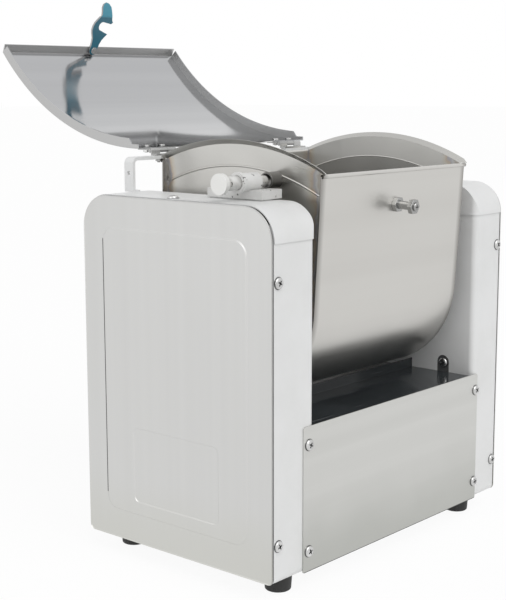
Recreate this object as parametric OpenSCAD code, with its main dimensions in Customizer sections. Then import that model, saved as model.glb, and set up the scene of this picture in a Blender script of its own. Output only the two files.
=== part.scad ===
// Small tilting dough mixer: two tall side housings, a base tray, a tilting tub
// with a shaft agitator, a curved hinged lid with a hook, and a geared belt drive.

/* [Housings] */
// Width across both side covers
body_w = 472; // [400:1:560]
// Depth of the housings, front to back
body_d = 304; // [260:1:360]
// Height of the housings above the base's underside
housing_h = 420; // [360:1:500]
// How far the housings reach below the base's underside
skirt = 5.5; // [0:0.5:10]
// Width of the left side housing, which holds the drive
housing_w = 75; // [60:1:95]
// Width of the right side housing
right_w = 62; // [50:1:90]
// Corner radius at the top of the housings
top_r = 40; // [20:1:60]
// Corner radius at the bottom of the housings
low_r = 8; // [4:0.5:20]
// Bend radius of the upright edges beside the tub
edge_r = 9; // [4:0.5:16]
// Height of the separate top cap
cap_h = 40; // [30:1:60]

/* [Base] */
// Height of the base between the housings
base_h = 168; // [140:1:200]
// Distance from the front to the lip across the tray
lip_y = 98; // [60:1:140]
// Height of the lip above the tray
lip_h = 10; // [6:0.5:11]
// How far the front and rear panels lap over each housing
panel_lap = 17; // [10:0.5:20]
// Height of the base's underside above the worktop
foot_h = 28; // [15:0.5:40]
// Radius of a foot at its top
foot_r = 17; // [10:0.5:25]
// Foot centres, in from the side covers
foot_x = 46; // [20:1:60]
// Foot centres, in from the front and the rear
foot_y = 32; // [20:0.5:60]

/* [Tub] */
// Distance of the tub axis from the front
axis_y = 138; // [120:1:180]
// Height of the tub axis above the housings' underside
axis_up = 297; // [260:1:330]
// Outside radius of the tub's round bottom
tub_r = 122; // [100:1:124]
// Gap between the tub's wall and each housing
tub_gap = 20; // [16:0.5:40]
// Distance of the tub's middle to the right of the machine's middle
tub_x = 2.5; // [0:0.5:5]
// Height of the straight wall tops above the axis
wall_up = 155; // [120:1:180]
// Outward lean of the front and rear walls, degrees
flare = 1.4; // [0:0.1:4]
// Forward lean of the tub when it is upright, degrees
tub_lean = 2.2; // [0:0.1:4]
// Radius of the curved rims
rim_r = 313; // [290:1:340]
// Height of the rims' crown above the axis
rim_up = 188.6; // [175:0.1:200]
// How far an end plate stands in from the end of the tub's wall
end_in = 8.5; // [6:0.5:20]

/* [Lid] */
// Radius of the lid's curve
lid_r = 342; // [320:1:400]
// Arc of the lid, degrees
lid_arc = 50; // [40:1:55]
// How far the lid reaches past each end of the tub's wall
lid_over = 15; // [10:0.5:17]
// Distance of the lid's middle to the right of the machine's middle
lid_x = 2; // [0:0.5:5]
// Depth of the lid's flanges
flange_h = 12.5; // [8:0.5:16]
// Hinge line, back from the front of the housings
hinge_y = 279; // [276:0.5:290]
// Hinge line above the housings' underside
hinge_up = 468; // [466:0.5:480]

/* [Agitator and gears] */
// Radius of the mixing shaft
shaft_r = 13; // [10:0.5:16]
// Radius to the middle of the sweeping bars
sweep_r = 92; // [70:1:98]
// Radius of the sweeping bars
bar_r = 7; // [5:0.5:9]
// Tooth size of the gear pair
gear_m = 2.5; // [2:0.5:3]
// Teeth on the large gear
gear_teeth = 60; // [48:1:60]
// Teeth on the pinion
pinion_teeth = 15; // [13:1:18]
// Face width of the gears
gear_face = 12; // [8:1:14]
// Pitch radius of the large pulley
pulley_big = 70; // [50:1:75]
// Pitch radius of the motor pulley
pulley_small = 25; // [20:1:32]

/* [Motor] */
// Radius of the motor body
motor_r = 60; // [45:1:64]
// Length of the motor body
motor_len = 178; // [140:1:220]
// Height of the motor axis above the housings' underside
motor_up = 78; // [76:1:90]
// Distance of the motor axis from the front
motor_y = 150; // [120:1:200]

/* [Hidden] */
$fn = 64;

white = [0.86, 0.86, 0.86];
steel = [0.79, 0.79, 0.78];
dark = [0.17, 0.18, 0.19];
black = [0.12, 0.12, 0.12];
blue = [0.17, 0.44, 0.56];
iron = [0.42, 0.43, 0.45];
bronze = [0.72, 0.55, 0.30];
green = [0.10, 0.50, 0.22];
red = [0.72, 0.08, 0.08];

cut = 1;
half = 0.5;
// small gap between two sheets that only rest on each other
seat = 0.2;
sheet = 1.5;
cap_t = 1.2;
plate_t = 4;
case_in = cap_t + seat;
case_t = sheet;
outer_x = body_w * half;
inner_x = outer_x - housing_w;
inside_w = body_w - housing_w - right_w;
panel_w = inside_w + panel_lap + panel_lap;
tub_len = inside_w - tub_gap - tub_gap;
end_x = tub_len * half - end_in;
lid_w = tub_len + lid_over + lid_over;
// the right housing is narrower, so its inner wall stands further out
narrow = housing_w - right_w;
wall_x = inner_x + case_in;
walls_w = wall_x + wall_x + narrow;
plate_x = wall_x + case_t + seat;
plate_out_x = plate_x + plate_t;
tub_z = axis_up + foot_h;
base_z = base_h + foot_h;
seam_z = housing_h - cap_h;

// the row's origin is below the middle of the bounding box
front_y = -22.315;
back_y = 547.082;
mid_y = (front_y + back_y) * half;
field_t = 0.8;
button_t = 6;
travel = 3;
left_x = -outer_x - field_t;
right_x = outer_x + cut + travel + button_t;
mid_x = (left_x + right_x) * half;

module place() {
  translate([-mid_x, -mid_y, 0])
    children();
}

module flip(side) {
  if (side < 0) {
    children();
  } else {
    mirror([1, 0, 0])
      children();
  }
}

// a part on the left housing's inner wall, and its mirror image on the right one
module both_walls() {
  children();
  translate([narrow, 0, 0])
    mirror([1, 0, 0])
      children();
}

module along_x(len) {
  rotate([90, 0, 90])
    linear_extrude(height = len)
      children();
}

// a round bar or a hole along X, from x to x + len
module rod_x(x, y, z, r, len) {
  translate([x, y, z])
    rotate([0, 90, 0])
      cylinder(h = len, r = r);
}

module rod_y(x, y, z, r, len) {
  translate([x, y, z])
    rotate([-90, 0, 0])
      cylinder(h = len, r = r);
}

module rod_z(x, y, z, r, len) {
  translate([x, y, z])
    cylinder(h = len, r = r);
}

module box(x, y, z, w, d, h) {
  translate([x, y, z])
    cube([w, d, h]);
}

// a rectangle with one radius at its two upper and one at its two lower corners
module round_box(w, h, r_up, r_low) {
  translate([r_low, 0])
    square([w - r_low - r_low, h - r_up]);
  translate([0, r_low])
    square([w, h - r_low - r_up]);
  translate([r_up, r_low])
    square([w - r_up - r_up, h - r_low]);
  translate([r_low, r_low])
    circle(r = r_low);
  translate([w - r_low, r_low])
    circle(r = r_low);
  translate([r_up, h - r_up])
    circle(r = r_up);
  translate([w - r_up, h - r_up])
    circle(r = r_up);
}

module side_profile(inset) {
  translate([inset, inset - skirt])
    round_box(body_d - inset - inset, housing_h + skirt - inset - inset, top_r - inset,
      max(low_r - inset, sheet));
}

// one housing of a width seen from above, rounded on the edges beside the tub
module plan_profile(inset, width) {
  r = edge_r - inset;
  w = width - inset;
  d = body_d - inset - inset;
  translate([-outer_x - cut, inset])
    square([w + cut - r, d]);
  translate([-outer_x - cut, inset + r])
    square([w + cut, d - r - r]);
  translate([-outer_x + w - r, inset + r])
    circle(r = r);
  translate([-outer_x + w - r, inset + d - r])
    circle(r = r);
}

module housing_solid(inset, start, width) {
  intersection() {
    translate([-outer_x + start, 0, foot_h])
      along_x(width - start + cut)
        side_profile(inset);
    translate([0, 0, foot_h - skirt - cut])
      linear_extrude(height = housing_h + skirt + cut + cut)
        plan_profile(inset, width);
  }
}

/* housings */
slot_y = 48.5;
slot_r = 9.6;
slot_above = 20;
slot_top = base_h + slot_above;
tilt_hole_r = 27;
motor_hole_r = 24;

module case_slot(x, len) {
  rod_x(x, slot_y, slot_top - slot_r + foot_h, slot_r, len);
  box(x, slot_y - slot_r, base_z - lip_h, len, slot_r + slot_r, slot_top - slot_r - base_h + lip_h);
}

screw_r = 3;
head_r = 6.5;
head_h = 3.2;
screw_x = 10;
screw_x_right = 7.8;
screw_low = 40;
screw_drop = 83;
screw_high = housing_h - screw_drop;
top_screw_y = 163;
pad_r = 6;

module cover_screw_holes(r, x) {
  for (z = [screw_low, screw_high]) {
    rod_y(-outer_x + x, -cut, z + foot_h, r, body_d + cut + cut);
  }
}

// the cover's face and a dark seam come before the folded sheets begin
cover_t = 1.2;
seam_w = 1.6;
case_start = cover_t + seam_w;
sheet_deep = body_d + cut + cut;
hole_len = plate_t + plate_t;

module casing_shape(width, x) {
  hole_x = -outer_x + width - plate_t - cut;
  difference() {
    housing_solid(case_in, case_start, width);
    housing_solid(case_in + case_t, -cut, width);
    box(-outer_x - cut, -cut, seam_z + cap_h * half + foot_h, width + cut + cut, sheet_deep, cap_h);
    cover_screw_holes(screw_r + clear_r, x);
    rod_x(hole_x, axis_y, tub_z, tilt_hole_r, hole_len);
    case_slot(hole_x, hole_len);
    rod_x(hole_x, motor_y, motor_up + foot_h, motor_hole_r, hole_len);
    for (y = [foot_y, body_d - foot_y]) {
      rod_z(-outer_x + foot_x, y, foot_h - skirt - cut, bolt_r + clear_r, hole_len);
    }
    rod_x(hole_x, wire_y, wire_up + foot_h, wire_r, hole_len);
    rod_y(-outer_x + gland_x, body_d - plate_t - cut, gland_up + foot_h, gland_r, hole_len);
  }
}

clear_r = 0.1;
bolt_r = 4;
wire_y = 230;
wire_up = 60;
wire_r = 8;
gland_x = 38;
gland_up = 60;
gland_r = 8;

module casing_left() {
  color(white) place() casing_shape(housing_w, screw_x);
}

module casing_right() {
  color(white) place() mirror([1, 0, 0]) casing_shape(right_w, screw_x_right);
}

cap_lip = 6;

// the cap sits over the top of the casing
module cap_shape(width) {
  difference() {
    housing_solid(0, case_start, width);
    housing_solid(cap_t, -cut, width);
    box(-outer_x - cut, -cut, foot_h - skirt - cut, width + cut + cut, sheet_deep, seam_z + skirt + cut);
    top_screw_hole();
  }
}

module top_screw_hole() {
  rod_z(-outer_x + top_screw_x, top_screw_y, housing_h + foot_h - hole_len, screw_r + clear_r,
    hole_len + cut);
}

top_screw_x = 14;

module cap_left() {
  color(white) place() cap_shape(housing_w);
}

module cap_right() {
  color(white) place() mirror([1, 0, 0]) cap_shape(right_w);
}

cover_gap = seat;
cover_in = case_in + case_t + cover_gap;
face_in = 0.6;
cover_depth = 18;
field_y = 37;
field_side = 34;
field_w = body_d - field_y - field_side;
field_low = 31;
field_drop = 38;
field_high = housing_h - field_drop;
field_r = 19;
window_y = 81;
window_w = 141;
window_low = 47;
window_h = 95;
window_r = 9;
groove_w = 2.4;

module frame_2d(y, z, w, h, r, t) {
  difference() {
    translate([y, z])
      round_box(w, h, r, r);
    translate([y + t, z + t])
      round_box(w - t - t, h - t - t, r - t, r - t);
  }
}

// a stainless face with two pressed fields, and a flange that fits inside the casing
module cover_shape(x) {
  difference() {
    union() {
      translate([-outer_x, 0, foot_h])
        along_x(cover_t)
          side_profile(face_in);
      difference() {
        translate([-outer_x, 0, foot_h])
          along_x(cover_depth)
            side_profile(cover_in);
        translate([-outer_x + cover_t, 0, foot_h])
          along_x(cover_depth)
            side_profile(cover_in + cover_t);
      }
      for (z = [screw_low, screw_high]) {
        rod_y(-outer_x + x, case_in + case_t, z + foot_h, pad_r, cover_t);
        rod_y(-outer_x + x, body_d - cover_in - cut, z + foot_h, pad_r, cover_gap + cut);
      }
    }
    cover_screw_holes(screw_r + clear_r, x);
    top_screw_hole();
  }
  translate([-outer_x - field_t, 0, foot_h])
    along_x(field_t)
      frame_2d(field_y, field_low, field_w, field_high - field_low, field_r, groove_w);
  translate([-outer_x - field_t, 0, foot_h])
    along_x(field_t)
      frame_2d(window_y, window_low, window_w, window_h, window_r, groove_w);
}

module cover_left() {
  color(steel) place() cover_shape(screw_x);
}

button_y = 120;
start_up = 330;
stop_up = 285;
bezel_r = 15;
stem_r = 8;

module cover_right() {
  color(steel) place() difference() {
    mirror([1, 0, 0]) cover_shape(screw_x_right);
    for (z = [start_up, stop_up]) {
      rod_x(outer_x - plate_t, button_y, z + foot_h, stem_r + sheet, plate_t + plate_t);
    }
  }
}

module pan_screw(len) {
  difference() {
    union() {
      cylinder(h = head_h * half, r = head_r);
      translate([0, 0, head_h * half])
        cylinder(h = head_h * half, r1 = head_r, r2 = head_r * dome_share);
      translate([0, 0, -len])
        cylinder(h = len + half * head_h, r = screw_r);
    }
    box(-cross_l * half, -cross_w * half, head_h - cross_w, cross_l, cross_w, cross_w + cut);
    box(-cross_w * half, -cross_l * half, head_h - cross_w, cross_w, cross_l, cross_w + cut);
  }
}

dome_share = 0.62;
cross_l = 6;
cross_w = 1.2;
cover_screw_len = 12;

function screw_in(side) = side < 0 ? screw_x : screw_x_right;

top_screw_len = 6;
panel_screw_len = 10;

module cover_screws() {
  color(steel) place() for (side = [-1, 1]) flip(side) {
    for (z = [screw_low, screw_high]) {
      translate([-outer_x + screw_in(side), case_in, z + foot_h])
        rotate([90, 0, 0])
          pan_screw(cover_screw_len);
      translate([-outer_x + screw_in(side), body_d - case_in, z + foot_h])
        rotate([-90, 0, 0])
          pan_screw(cover_screw_len);
    }
    translate([-outer_x + top_screw_x, top_screw_y, housing_h + foot_h])
      pan_screw(top_screw_len);
  }
}

/* structure inside the housings */
plate_y = 16;
plate_drop = 48;
plate_top = housing_h - plate_drop;
bridge_in = 11;
bridge_x = outer_x - bridge_in;
bridge_t = 4;
post_r = 6;
post_y = [40, 236];
post_up = [150, 340];
counter_c = gear_m * (gear_teeth + pinion_teeth) * half;
counter_z = tub_z - counter_c;
bearing_seat_r = 18;

module plate_shape() {
  difference() {
    box(-plate_out_x, plate_y, foot_h - skirt + case_in + case_t, plate_t, body_d - plate_y - plate_y,
      plate_top + skirt);
    rod_x(-plate_out_x - cut, axis_y, tub_z, tilt_hole_r, plate_t + cut + cut);
    rod_x(-plate_out_x - cut, motor_y, motor_up + foot_h, motor_hole_r, plate_t + cut + cut);
    rod_x(-plate_out_x - cut, wire_y, wire_up + foot_h, wire_r, plate_t + cut + cut);
  }
}

module plate_left() {
  color(iron) place() difference() {
    plate_shape();
    rod_x(-plate_out_x - cut, axis_y, counter_z, counter_seat_r, plate_t + cut + cut);
    slot_screw_hole();
  }
}

module plate_right() {
  color(iron) place() translate([narrow, 0, 0]) mirror([1, 0, 0]) difference() {
    plate_shape();
    slot_screw_hole();
  }
}

counter_seat_r = 16;
slot_screw_y = 48.5;
slot_screw_above = 9.5;
slot_screw_up = base_h + slot_screw_above;

module slot_screw_hole() {
  rod_x(-plate_out_x - cut, slot_screw_y, slot_screw_up + foot_h, screw_r + clear_r, plate_t + cut + cut);
}

/* base */
panel_mid = 1.25;
panel_x0 = panel_mid - panel_w * half;
panel_drop = 4.5;
panel_h = base_h + panel_drop;
panel_edge = 10;
panel_edge_right = 5;
panel_low = 20;
panel_top_edge = 22;
panel_high = base_h - panel_top_edge;
panel_screw_x = [panel_x0 + panel_edge, panel_x0 + panel_w - panel_edge_right];

module panel_holes(r) {
  for (x = panel_screw_x) {
    for (z = [panel_low, panel_high]) {
      rod_y(x, -plate_t, z + foot_h, r, plate_t + plate_t);
    }
  }
}

module front_panel() {
  color(steel) place() difference() {
    box(panel_x0, case_in - sheet, foot_h - panel_drop, panel_w, sheet, panel_h);
    panel_holes(screw_r + clear_r);
  }
}

louvre_w = 30;
louvre_h = 3;
louvre_step_x = 42;
louvre_step_z = 12;

module rear_panel() {
  color(white) place() difference() {
    box(panel_x0, body_d - case_in, foot_h - panel_drop, panel_w, sheet, panel_h);
    translate([0, body_d, 0])
      panel_holes(screw_r + clear_r);
    for (i = [-2.5:1:2.5]) {
      for (k = [0:1:5]) {
        box(i * louvre_step_x - louvre_w * half, body_d - plate_t, foot_h + panel_h_low + k * louvre_step_z,
          louvre_w, plate_t + plate_t, louvre_h);
      }
    }
  }
}

panel_h_low = 50;

module panel_screws() {
  color(steel) place() {
    for (x = panel_screw_x) {
      for (z = [panel_low, panel_high]) {
        translate([x, case_in - sheet, z + foot_h])
          rotate([90, 0, 0])
            pan_screw(sheet);
        translate([x, body_d - case_in + sheet, z + foot_h])
          rotate([-90, 0, 0])
            pan_screw(sheet);
      }
    }
    both_walls()
      translate([-plate_x, slot_screw_y, slot_screw_up + foot_h])
        rotate([0, 90, 0])
          slot_screw();
  }
}

slot_head_r = 6;
slot_head_h = 1.2;

module slot_screw() {
  cylinder(h = slot_head_h, r = slot_head_r);
  translate([0, 0, -plate_t])
    cylinder(h = plate_t + half, r = screw_r);
}

tray_flange = 14;
tray_drop = 2.3;
tray_z = base_z - tray_drop;
inside_d = body_d - case_in - case_in;

// the tray lies a little below the top edges of the front and rear panels
module base_tray() {
  color(dark) place() {
    box(-wall_x, case_in, tray_z - sheet, walls_w, inside_d, sheet);
    box(-wall_x, lip_y, tray_z, walls_w, sheet, lip_h + tray_drop);
    for (x = [-wall_x, walls_w - wall_x - sheet]) {
      box(x, case_in, tray_z - sheet - tray_flange, sheet, inside_d, tray_flange);
    }
  }
}

floor_edge = 12;
vent_w = 60;
vent_h = 4;
vent_step = 14;

module base_floor() {
  color(white) place() difference() {
    union() {
      box(-wall_x, case_in, foot_h + case_in, walls_w, inside_d, sheet);
      for (x = [-wall_x, walls_w - wall_x - sheet]) {
        box(x, case_in, foot_h + case_in, sheet, inside_d, floor_edge);
      }
    }
    for (i = [-3:1:3]) {
      for (x = [-vent_x, vent_x]) {
        box(x - vent_w * half, body_d * half + i * vent_step, foot_h, vent_w, vent_h, plate_t);
      }
    }
  }
}

vent_x = 110;

module foot_places() {
  for (x = [-outer_x + foot_x, outer_x - foot_x]) {
    for (y = [foot_y, body_d - foot_y]) {
      translate([x, y, 0])
        children();
    }
  }
}

foot_low_r = 15.2;
foot_top = foot_h - skirt + case_in;
foot_bead = 2.5;

module feet() {
  color(black) place() foot_places() difference() {
    union() {
      translate([0, 0, foot_bead])
        cylinder(h = foot_top - foot_bead, r1 = foot_low_r, r2 = foot_r);
      cylinder(h = foot_bead, r1 = foot_low_r - foot_bead, r2 = foot_low_r);
    }
    translate([0, 0, foot_top - bolt_deep])
      cylinder(h = bolt_deep + cut, r = bolt_r);
  }
}

bolt_deep = 14;
nut_h = 6.5;
nut_r = 7.5;
hex = 6;

module foot_bolts() {
  color(steel) place() foot_places() {
    translate([0, 0, foot_top - bolt_deep])
      cylinder(h = bolt_deep + case_t + nut_h + nut_h, r = bolt_r);
    translate([0, 0, foot_top + case_t])
      difference() {
        cylinder(h = nut_h, r = nut_r, $fn = hex);
        translate([0, 0, -cut])
          cylinder(h = nut_h + cut + cut, r = bolt_r);
      }
  }
}

/* lid brackets and hinges */
arm_w = 15;
arm_back = 17;
arm_y = hinge_y - arm_back;
arm_t = 4;
arm_in = 45;
arm_x = outer_x - arm_in;
leaf_in = 15.5;
leaf_w = 44;
leaf_x1 = lid_w * half - leaf_in;
leaf_x0 = leaf_x1 - leaf_w;
leaf_over = 2;
arm_end_x = leaf_x0 + leaf_over;
arm_r = 8;
arm_drop = 10;
arm_up = hinge_up - arm_drop;
arm_top = arm_up + arm_t + foot_h;
arm_hole_r = 2.5;
arm_hole_drop = 15;
arm_hole_up = arm_up - arm_hole_drop;
// the strap's inner end is cut back to clear the tub's rim
arm_notch_gap = 5;
arm_notch_x = leaf_x1 + arm_notch_gap;
arm_notch_y = 5;
foot_pad_h = 2;

// the lid, its hinges and their straps share one middle
module lid_middle() {
  place()
    translate([lid_x, 0, 0])
      children();
}

// a strap that stands on the cap, turns and reaches in over the gap
module arm_2d() {
  translate([-arm_x - arm_t * half, housing_h])
    square([arm_t, arm_up + arm_t - housing_h - arm_r]);
  translate([-arm_x - arm_t * half + arm_r, arm_up])
    square([arm_x + arm_t * half - arm_r - arm_end_x, arm_t]);
  translate([-arm_x - arm_t * half + arm_r, arm_up + arm_t - arm_r])
    intersection() {
      difference() {
        circle(r = arm_r);
        circle(r = arm_r - arm_t);
      }
      translate([-arm_r - cut, 0])
        square([arm_r + cut, arm_r + cut]);
    }
}

module arm_shape() {
  difference() {
    translate([0, arm_y + arm_w, foot_h])
      rotate([90, 0, 0])
        linear_extrude(height = arm_w)
          arm_2d();
    rod_x(-arm_x - arm_t, arm_y + arm_w * half, arm_hole_up + foot_h, arm_hole_r, arm_t + arm_t);
    box(-arm_notch_x, arm_y - cut, arm_up + foot_h - cut, arm_notch_x, arm_notch_y + cut, arm_t + cut + cut);
    for (x = leaf_screw_x) {
      rod_z(-x, leaf_screw_y, arm_up + foot_h - cut, leaf_screw_r + clear_r, arm_t + cut + cut);
    }
  }
  // a welded foot on the cap
  box(-arm_x + arm_t * half, arm_y, housing_h + foot_h, arm_r, arm_w, foot_pad_h);
}

leaf_screw_in = 7;
leaf_screw_out = 9;
leaf_screw_x = [leaf_x1 - leaf_screw_in, leaf_x0 + leaf_screw_out];
leaf_screw_back = 8;
leaf_screw_y = hinge_y - leaf_screw_back;
leaf_screw_r = 2;
leaf_head_r = 4;
leaf_t = 2;
knuckle_r = 3;
pin_r = 1.5;
leaf_reach = 11.8;
leaf_front = hinge_y - leaf_reach;
lid_leaf_reach = 22;
lid_leaf_back = hinge_y + lid_leaf_reach;
knuckle_n = 3;
leaf_gap = 0.3;

module hinge_arm_left() {
  color(white) lid_middle() arm_shape();
}

module hinge_arm_right() {
  color(white) lid_middle() mirror([1, 0, 0]) arm_shape();
}

knuckle_len = (leaf_x1 - leaf_x0) / knuckle_n;

// fixed leaves, their outer knuckles, the pins and the screws through the arms
module fixed_leaf() {
  difference() {
    union() {
      box(-leaf_x1, leaf_front, arm_top, leaf_x1 - leaf_x0,
        hinge_y - leaf_front - knuckle_r - leaf_gap, leaf_t);
      for (x = [-leaf_x1, -leaf_x0 - knuckle_len]) {
        rod_x(x, hinge_y, hinge_up + foot_h, knuckle_r, knuckle_len);
        box(x, hinge_y - knuckle_r - sheet, arm_top, knuckle_len, sheet + pin_r, leaf_t);
        box(x, hinge_y - knuckle_r, arm_top, knuckle_len, knuckle_r - pin_r, hinge_up + foot_h - arm_top);
      }
    }
    for (x = leaf_screw_x) {
      translate([-x, leaf_screw_y, arm_top])
        cylinder(h = leaf_t, r1 = leaf_screw_r + clear_r, r2 = leaf_head_r + clear_r);
    }
    rod_x(-leaf_x1 - cut, hinge_y, hinge_up + foot_h, pin_r, leaf_x1 - leaf_x0 + cut + cut);
  }
  rod_x(-leaf_x1 - half, hinge_y, hinge_up + foot_h, pin_r, leaf_x1 - leaf_x0 + cut);
  for (x = leaf_screw_x) {
    translate([-x, leaf_screw_y, arm_top])
      cylinder(h = leaf_t, r1 = leaf_screw_r, r2 = leaf_head_r);
    rod_z(-x, leaf_screw_y, arm_top - arm_t - nut_small_h - sheet, leaf_screw_r,
      arm_t + nut_small_h + sheet + half);
    translate([-x, leaf_screw_y, arm_top - arm_t - nut_small_h])
      cylinder(h = nut_small_h, r = nut_small_r, $fn = hex);
  }
}

nut_small_h = 3;
nut_small_r = 4.2;

module hinge_leaves() {
  color(steel) lid_middle() for (side = [-1, 1]) flip(side)
    fixed_leaf();
}

lid_lift = 2.5;
lid_z = hinge_up + lid_lift + foot_h;
lid_gap = 5;
lid_start = hinge_y + lid_gap;
lid_screw_back = 14;
lid_screw_y = hinge_y + lid_screw_back;

// moving leaves under the lid with the middle knuckle round the pin
module moving_leaf() {
  x0 = -leaf_x1 + knuckle_len + leaf_gap;
  w = knuckle_len - leaf_gap - leaf_gap;
  difference() {
    union() {
      rod_x(x0, hinge_y, hinge_up + foot_h, knuckle_r, w);
      box(x0, hinge_y, lid_z - leaf_t, w, knuckle_r + sheet, leaf_t);
      box(-leaf_x1, hinge_y + knuckle_r + leaf_gap, lid_z - leaf_t, leaf_x1 - leaf_x0,
        lid_leaf_back - hinge_y - knuckle_r - leaf_gap, leaf_t);
    }
    rod_x(x0 - cut, hinge_y, hinge_up + foot_h, pin_r + pin_gap, w + cut + cut);
    for (x = leaf_screw_x) {
      rod_z(-x, lid_screw_y, lid_z - leaf_t - cut, leaf_screw_r + clear_r, leaf_t + cut + cut);
    }
  }
}

pin_gap = 0.05;

module lid_leaves() {
  color(steel) lid_middle() for (side = [-1, 1]) flip(side)
    moving_leaf();
}

lid_head_h = 2.4;

module lid_screws() {
  color(steel) lid_middle() for (side = [-1, 1]) flip(side) {
    for (x = leaf_screw_x) {
      rod_z(-x, lid_screw_y, lid_z - leaf_t - nut_small_h - half, leaf_screw_r,
        leaf_t + nut_small_h + sheet + cut);
      rod_z(-x, lid_screw_y, lid_z + lid_seat, leaf_head_r, lid_head_h);
      translate([-x, lid_screw_y, lid_z - leaf_t - nut_small_h])
        cylinder(h = nut_small_h, r = nut_small_r, $fn = hex);
    }
  }
}

lid_seat = 1.7;

/* lid */
lid_cut = 2.5;
edge_y = lid_start + lid_r * sin(lid_arc);
edge_z = lid_z + lid_r * (1 - cos(lid_arc));
edge_lean = 22.3;
hook_s = -5;
pivot_t = 8.5;
pivot_r = 2.5;

module lid_ring(x, w, r_in, r_out, from, to) {
  translate([x, lid_start, lid_z + lid_r])
    rotate([0, 90, 0])
      rotate([0, 0, from])
        rotate_extrude(angle = to - from)
          translate([r_in, 0])
            square([r_out - r_in, w]);
}

module edge_place() {
  translate([0, edge_y, edge_z])
    rotate([edge_lean, 0, 0])
      children();
}

flange_x = 25;

module lid_sheet() {
  color(steel) lid_middle() difference() {
    union() {
      lid_ring(-lid_w * half, lid_w, lid_r - sheet, lid_r, 0, lid_arc);
      for (x = [-lid_w * half, lid_w * half - sheet]) {
        lid_ring(x, sheet, lid_r - flange_h, lid_r - sheet * half, lid_cut, lid_arc - half);
      }
      edge_place()
        box(-lid_w * half + sheet + half, -sheet, -sheet * half, lid_w - sheet - sheet - cut, sheet,
          flange_h + sheet * half);
    }
    for (x = [-leaf_screw_x[0], -leaf_screw_x[1], leaf_screw_x[0], leaf_screw_x[1]]) {
      rod_z(x, lid_screw_y, lid_z - cut, leaf_screw_r + clear_r, plate_t);
    }
    edge_place()
      rod_y(hook_s, -plate_t, pivot_t, pivot_r + clear_r, plate_t + plate_t);
  }
}

hook_t = 3;
hook_gap = 0.4;
hook_back = -sheet - hook_gap;
hook_fold = 50;
hook_bend = 24;
hook_eye_r = 7;
notch_s = 6.4;
notch_t = 36;
notch_r = 6.6;
// the hook's outline up to its fold, then its finger tab
hook_body = [[-6.5, 0], [-6, 12], [-6.5, 18], [-9.5, 25], [-11, 30], [-10.5, 36], [-8.5, 41], [-4.5, 46],
  [-1, hook_fold], [21, hook_fold], [22, 46], [24.5, 42.4], [21.5, 40], [notch_s, 42.6], [notch_s, 29.4],
  [11, 27.5], [19, 24.8], [15, 20.5], [11, 15.5], [8.5, 10], [7, 4], [7, 0]];
hook_tab = [[-1, 0], [2.5, 3], [3.5, 8], [4, 14], [6.5, 18.5], [11, 21], [16, 19.5], [20, 15], [21, 9],
  [21.5, 3], [21, 0]];

module hook() {
  color(blue) lid_middle() edge_place() translate([hook_s, hook_back, pivot_t]) {
    rotate([90, 0, 0])
      linear_extrude(height = hook_t)
        difference() {
          union() {
            polygon(hook_body);
            circle(r = hook_eye_r);
          }
          translate([notch_s, notch_t])
            circle(r = notch_r);
          circle(r = pivot_r + hook_gap * half);
        }
    translate([0, -hook_t, hook_fold])
      rotate([-hook_bend, 0, 0])
        rotate([90, 0, 0])
          translate([0, 0, -hook_t])
            linear_extrude(height = hook_t)
              polygon(hook_tab);
  }
}

module hook_screw() {
  color(steel) lid_middle() edge_place() {
    rod_y(hook_s, hook_back - hook_t - hook_gap - screw_flat, pivot_t, pivot_r + pivot_r, screw_flat);
    rod_y(hook_s, hook_back - hook_t - hook_gap - half, pivot_t, pivot_r,
      hook_t + hook_gap + hook_gap + sheet + nut_small_h + cut);
    translate([hook_s, nut_small_h, pivot_t])
      rotate([90, 0, 0])
        cylinder(h = nut_small_h, r = nut_small_r + half, $fn = hex);
  }
}

screw_flat = 2;

/* tub */
tub_t = 2;
top_y = tub_r * cos(flare) + (wall_up + tub_r * sin(flare)) * tan(flare);

module tub_place() {
  translate([tub_x, axis_y, tub_z])
    rotate([tub_lean, 0, 0])
      children();
}

// the U shape of the tub, smaller by an inset, with its walls up to a height
module tub_2d(inset, up) {
  r = tub_r - inset;
  y = r * cos(flare) + (up + r * sin(flare)) * tan(flare);
  circle(r = r);
  polygon([[-r * cos(flare), -r * sin(flare)], [-y, up], [y, up], [r * cos(flare), -r * sin(flare)]]);
}

hem_r = 2.4;

module tub_shell() {
  color(steel) place() tub_place() {
    translate([-tub_len * half, 0, 0])
      along_x(tub_len)
        difference() {
          tub_2d(0, wall_up);
          tub_2d(tub_t, wall_up + cut);
        }
    for (y = [-top_y, top_y]) {
      rod_x(-tub_len * half, y + sign(y) * (hem_r - tub_t + seat), wall_up, hem_r, tub_len);
    }
  }
}

rim_z = rim_up - rim_r;
rim_w_r = 5.7;
band_w = 25.9;
band_r = rim_r - rim_w_r;
fold_r = band_r - band_w;
band_out = 2.8;
band_x = end_x + band_out;
rim_x = tub_len * half + half;
rim_half = 25.3;
rim_t = 1.6;
// the rims' tips stay inside this radius as the tub tilts under the closed lid
rim_sweep = 205;

// a strip between two radii round the rims' centre, leaning outward
module arc_strip(r0, x0, r1, x1, t, half_angle) {
  translate([0, 0, rim_z])
    rotate([0, -90, 0])
      rotate([0, 0, -half_angle])
        rotate_extrude(angle = half_angle + half_angle)
          polygon([[r0, x0], [r0, x0 - t], [r1, x1 - t], [r1, x1]]);
}

bush_y = 79;
bush_up = 440.5;
bush_r = 9.5;
bush_bore = 7.2;
bush_out = 5.4;
bush_end = inner_x - bush_out;

module bush_place() {
  translate([0, bush_y, bush_up + foot_h])
    children();
}

seal_r = 20;

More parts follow.
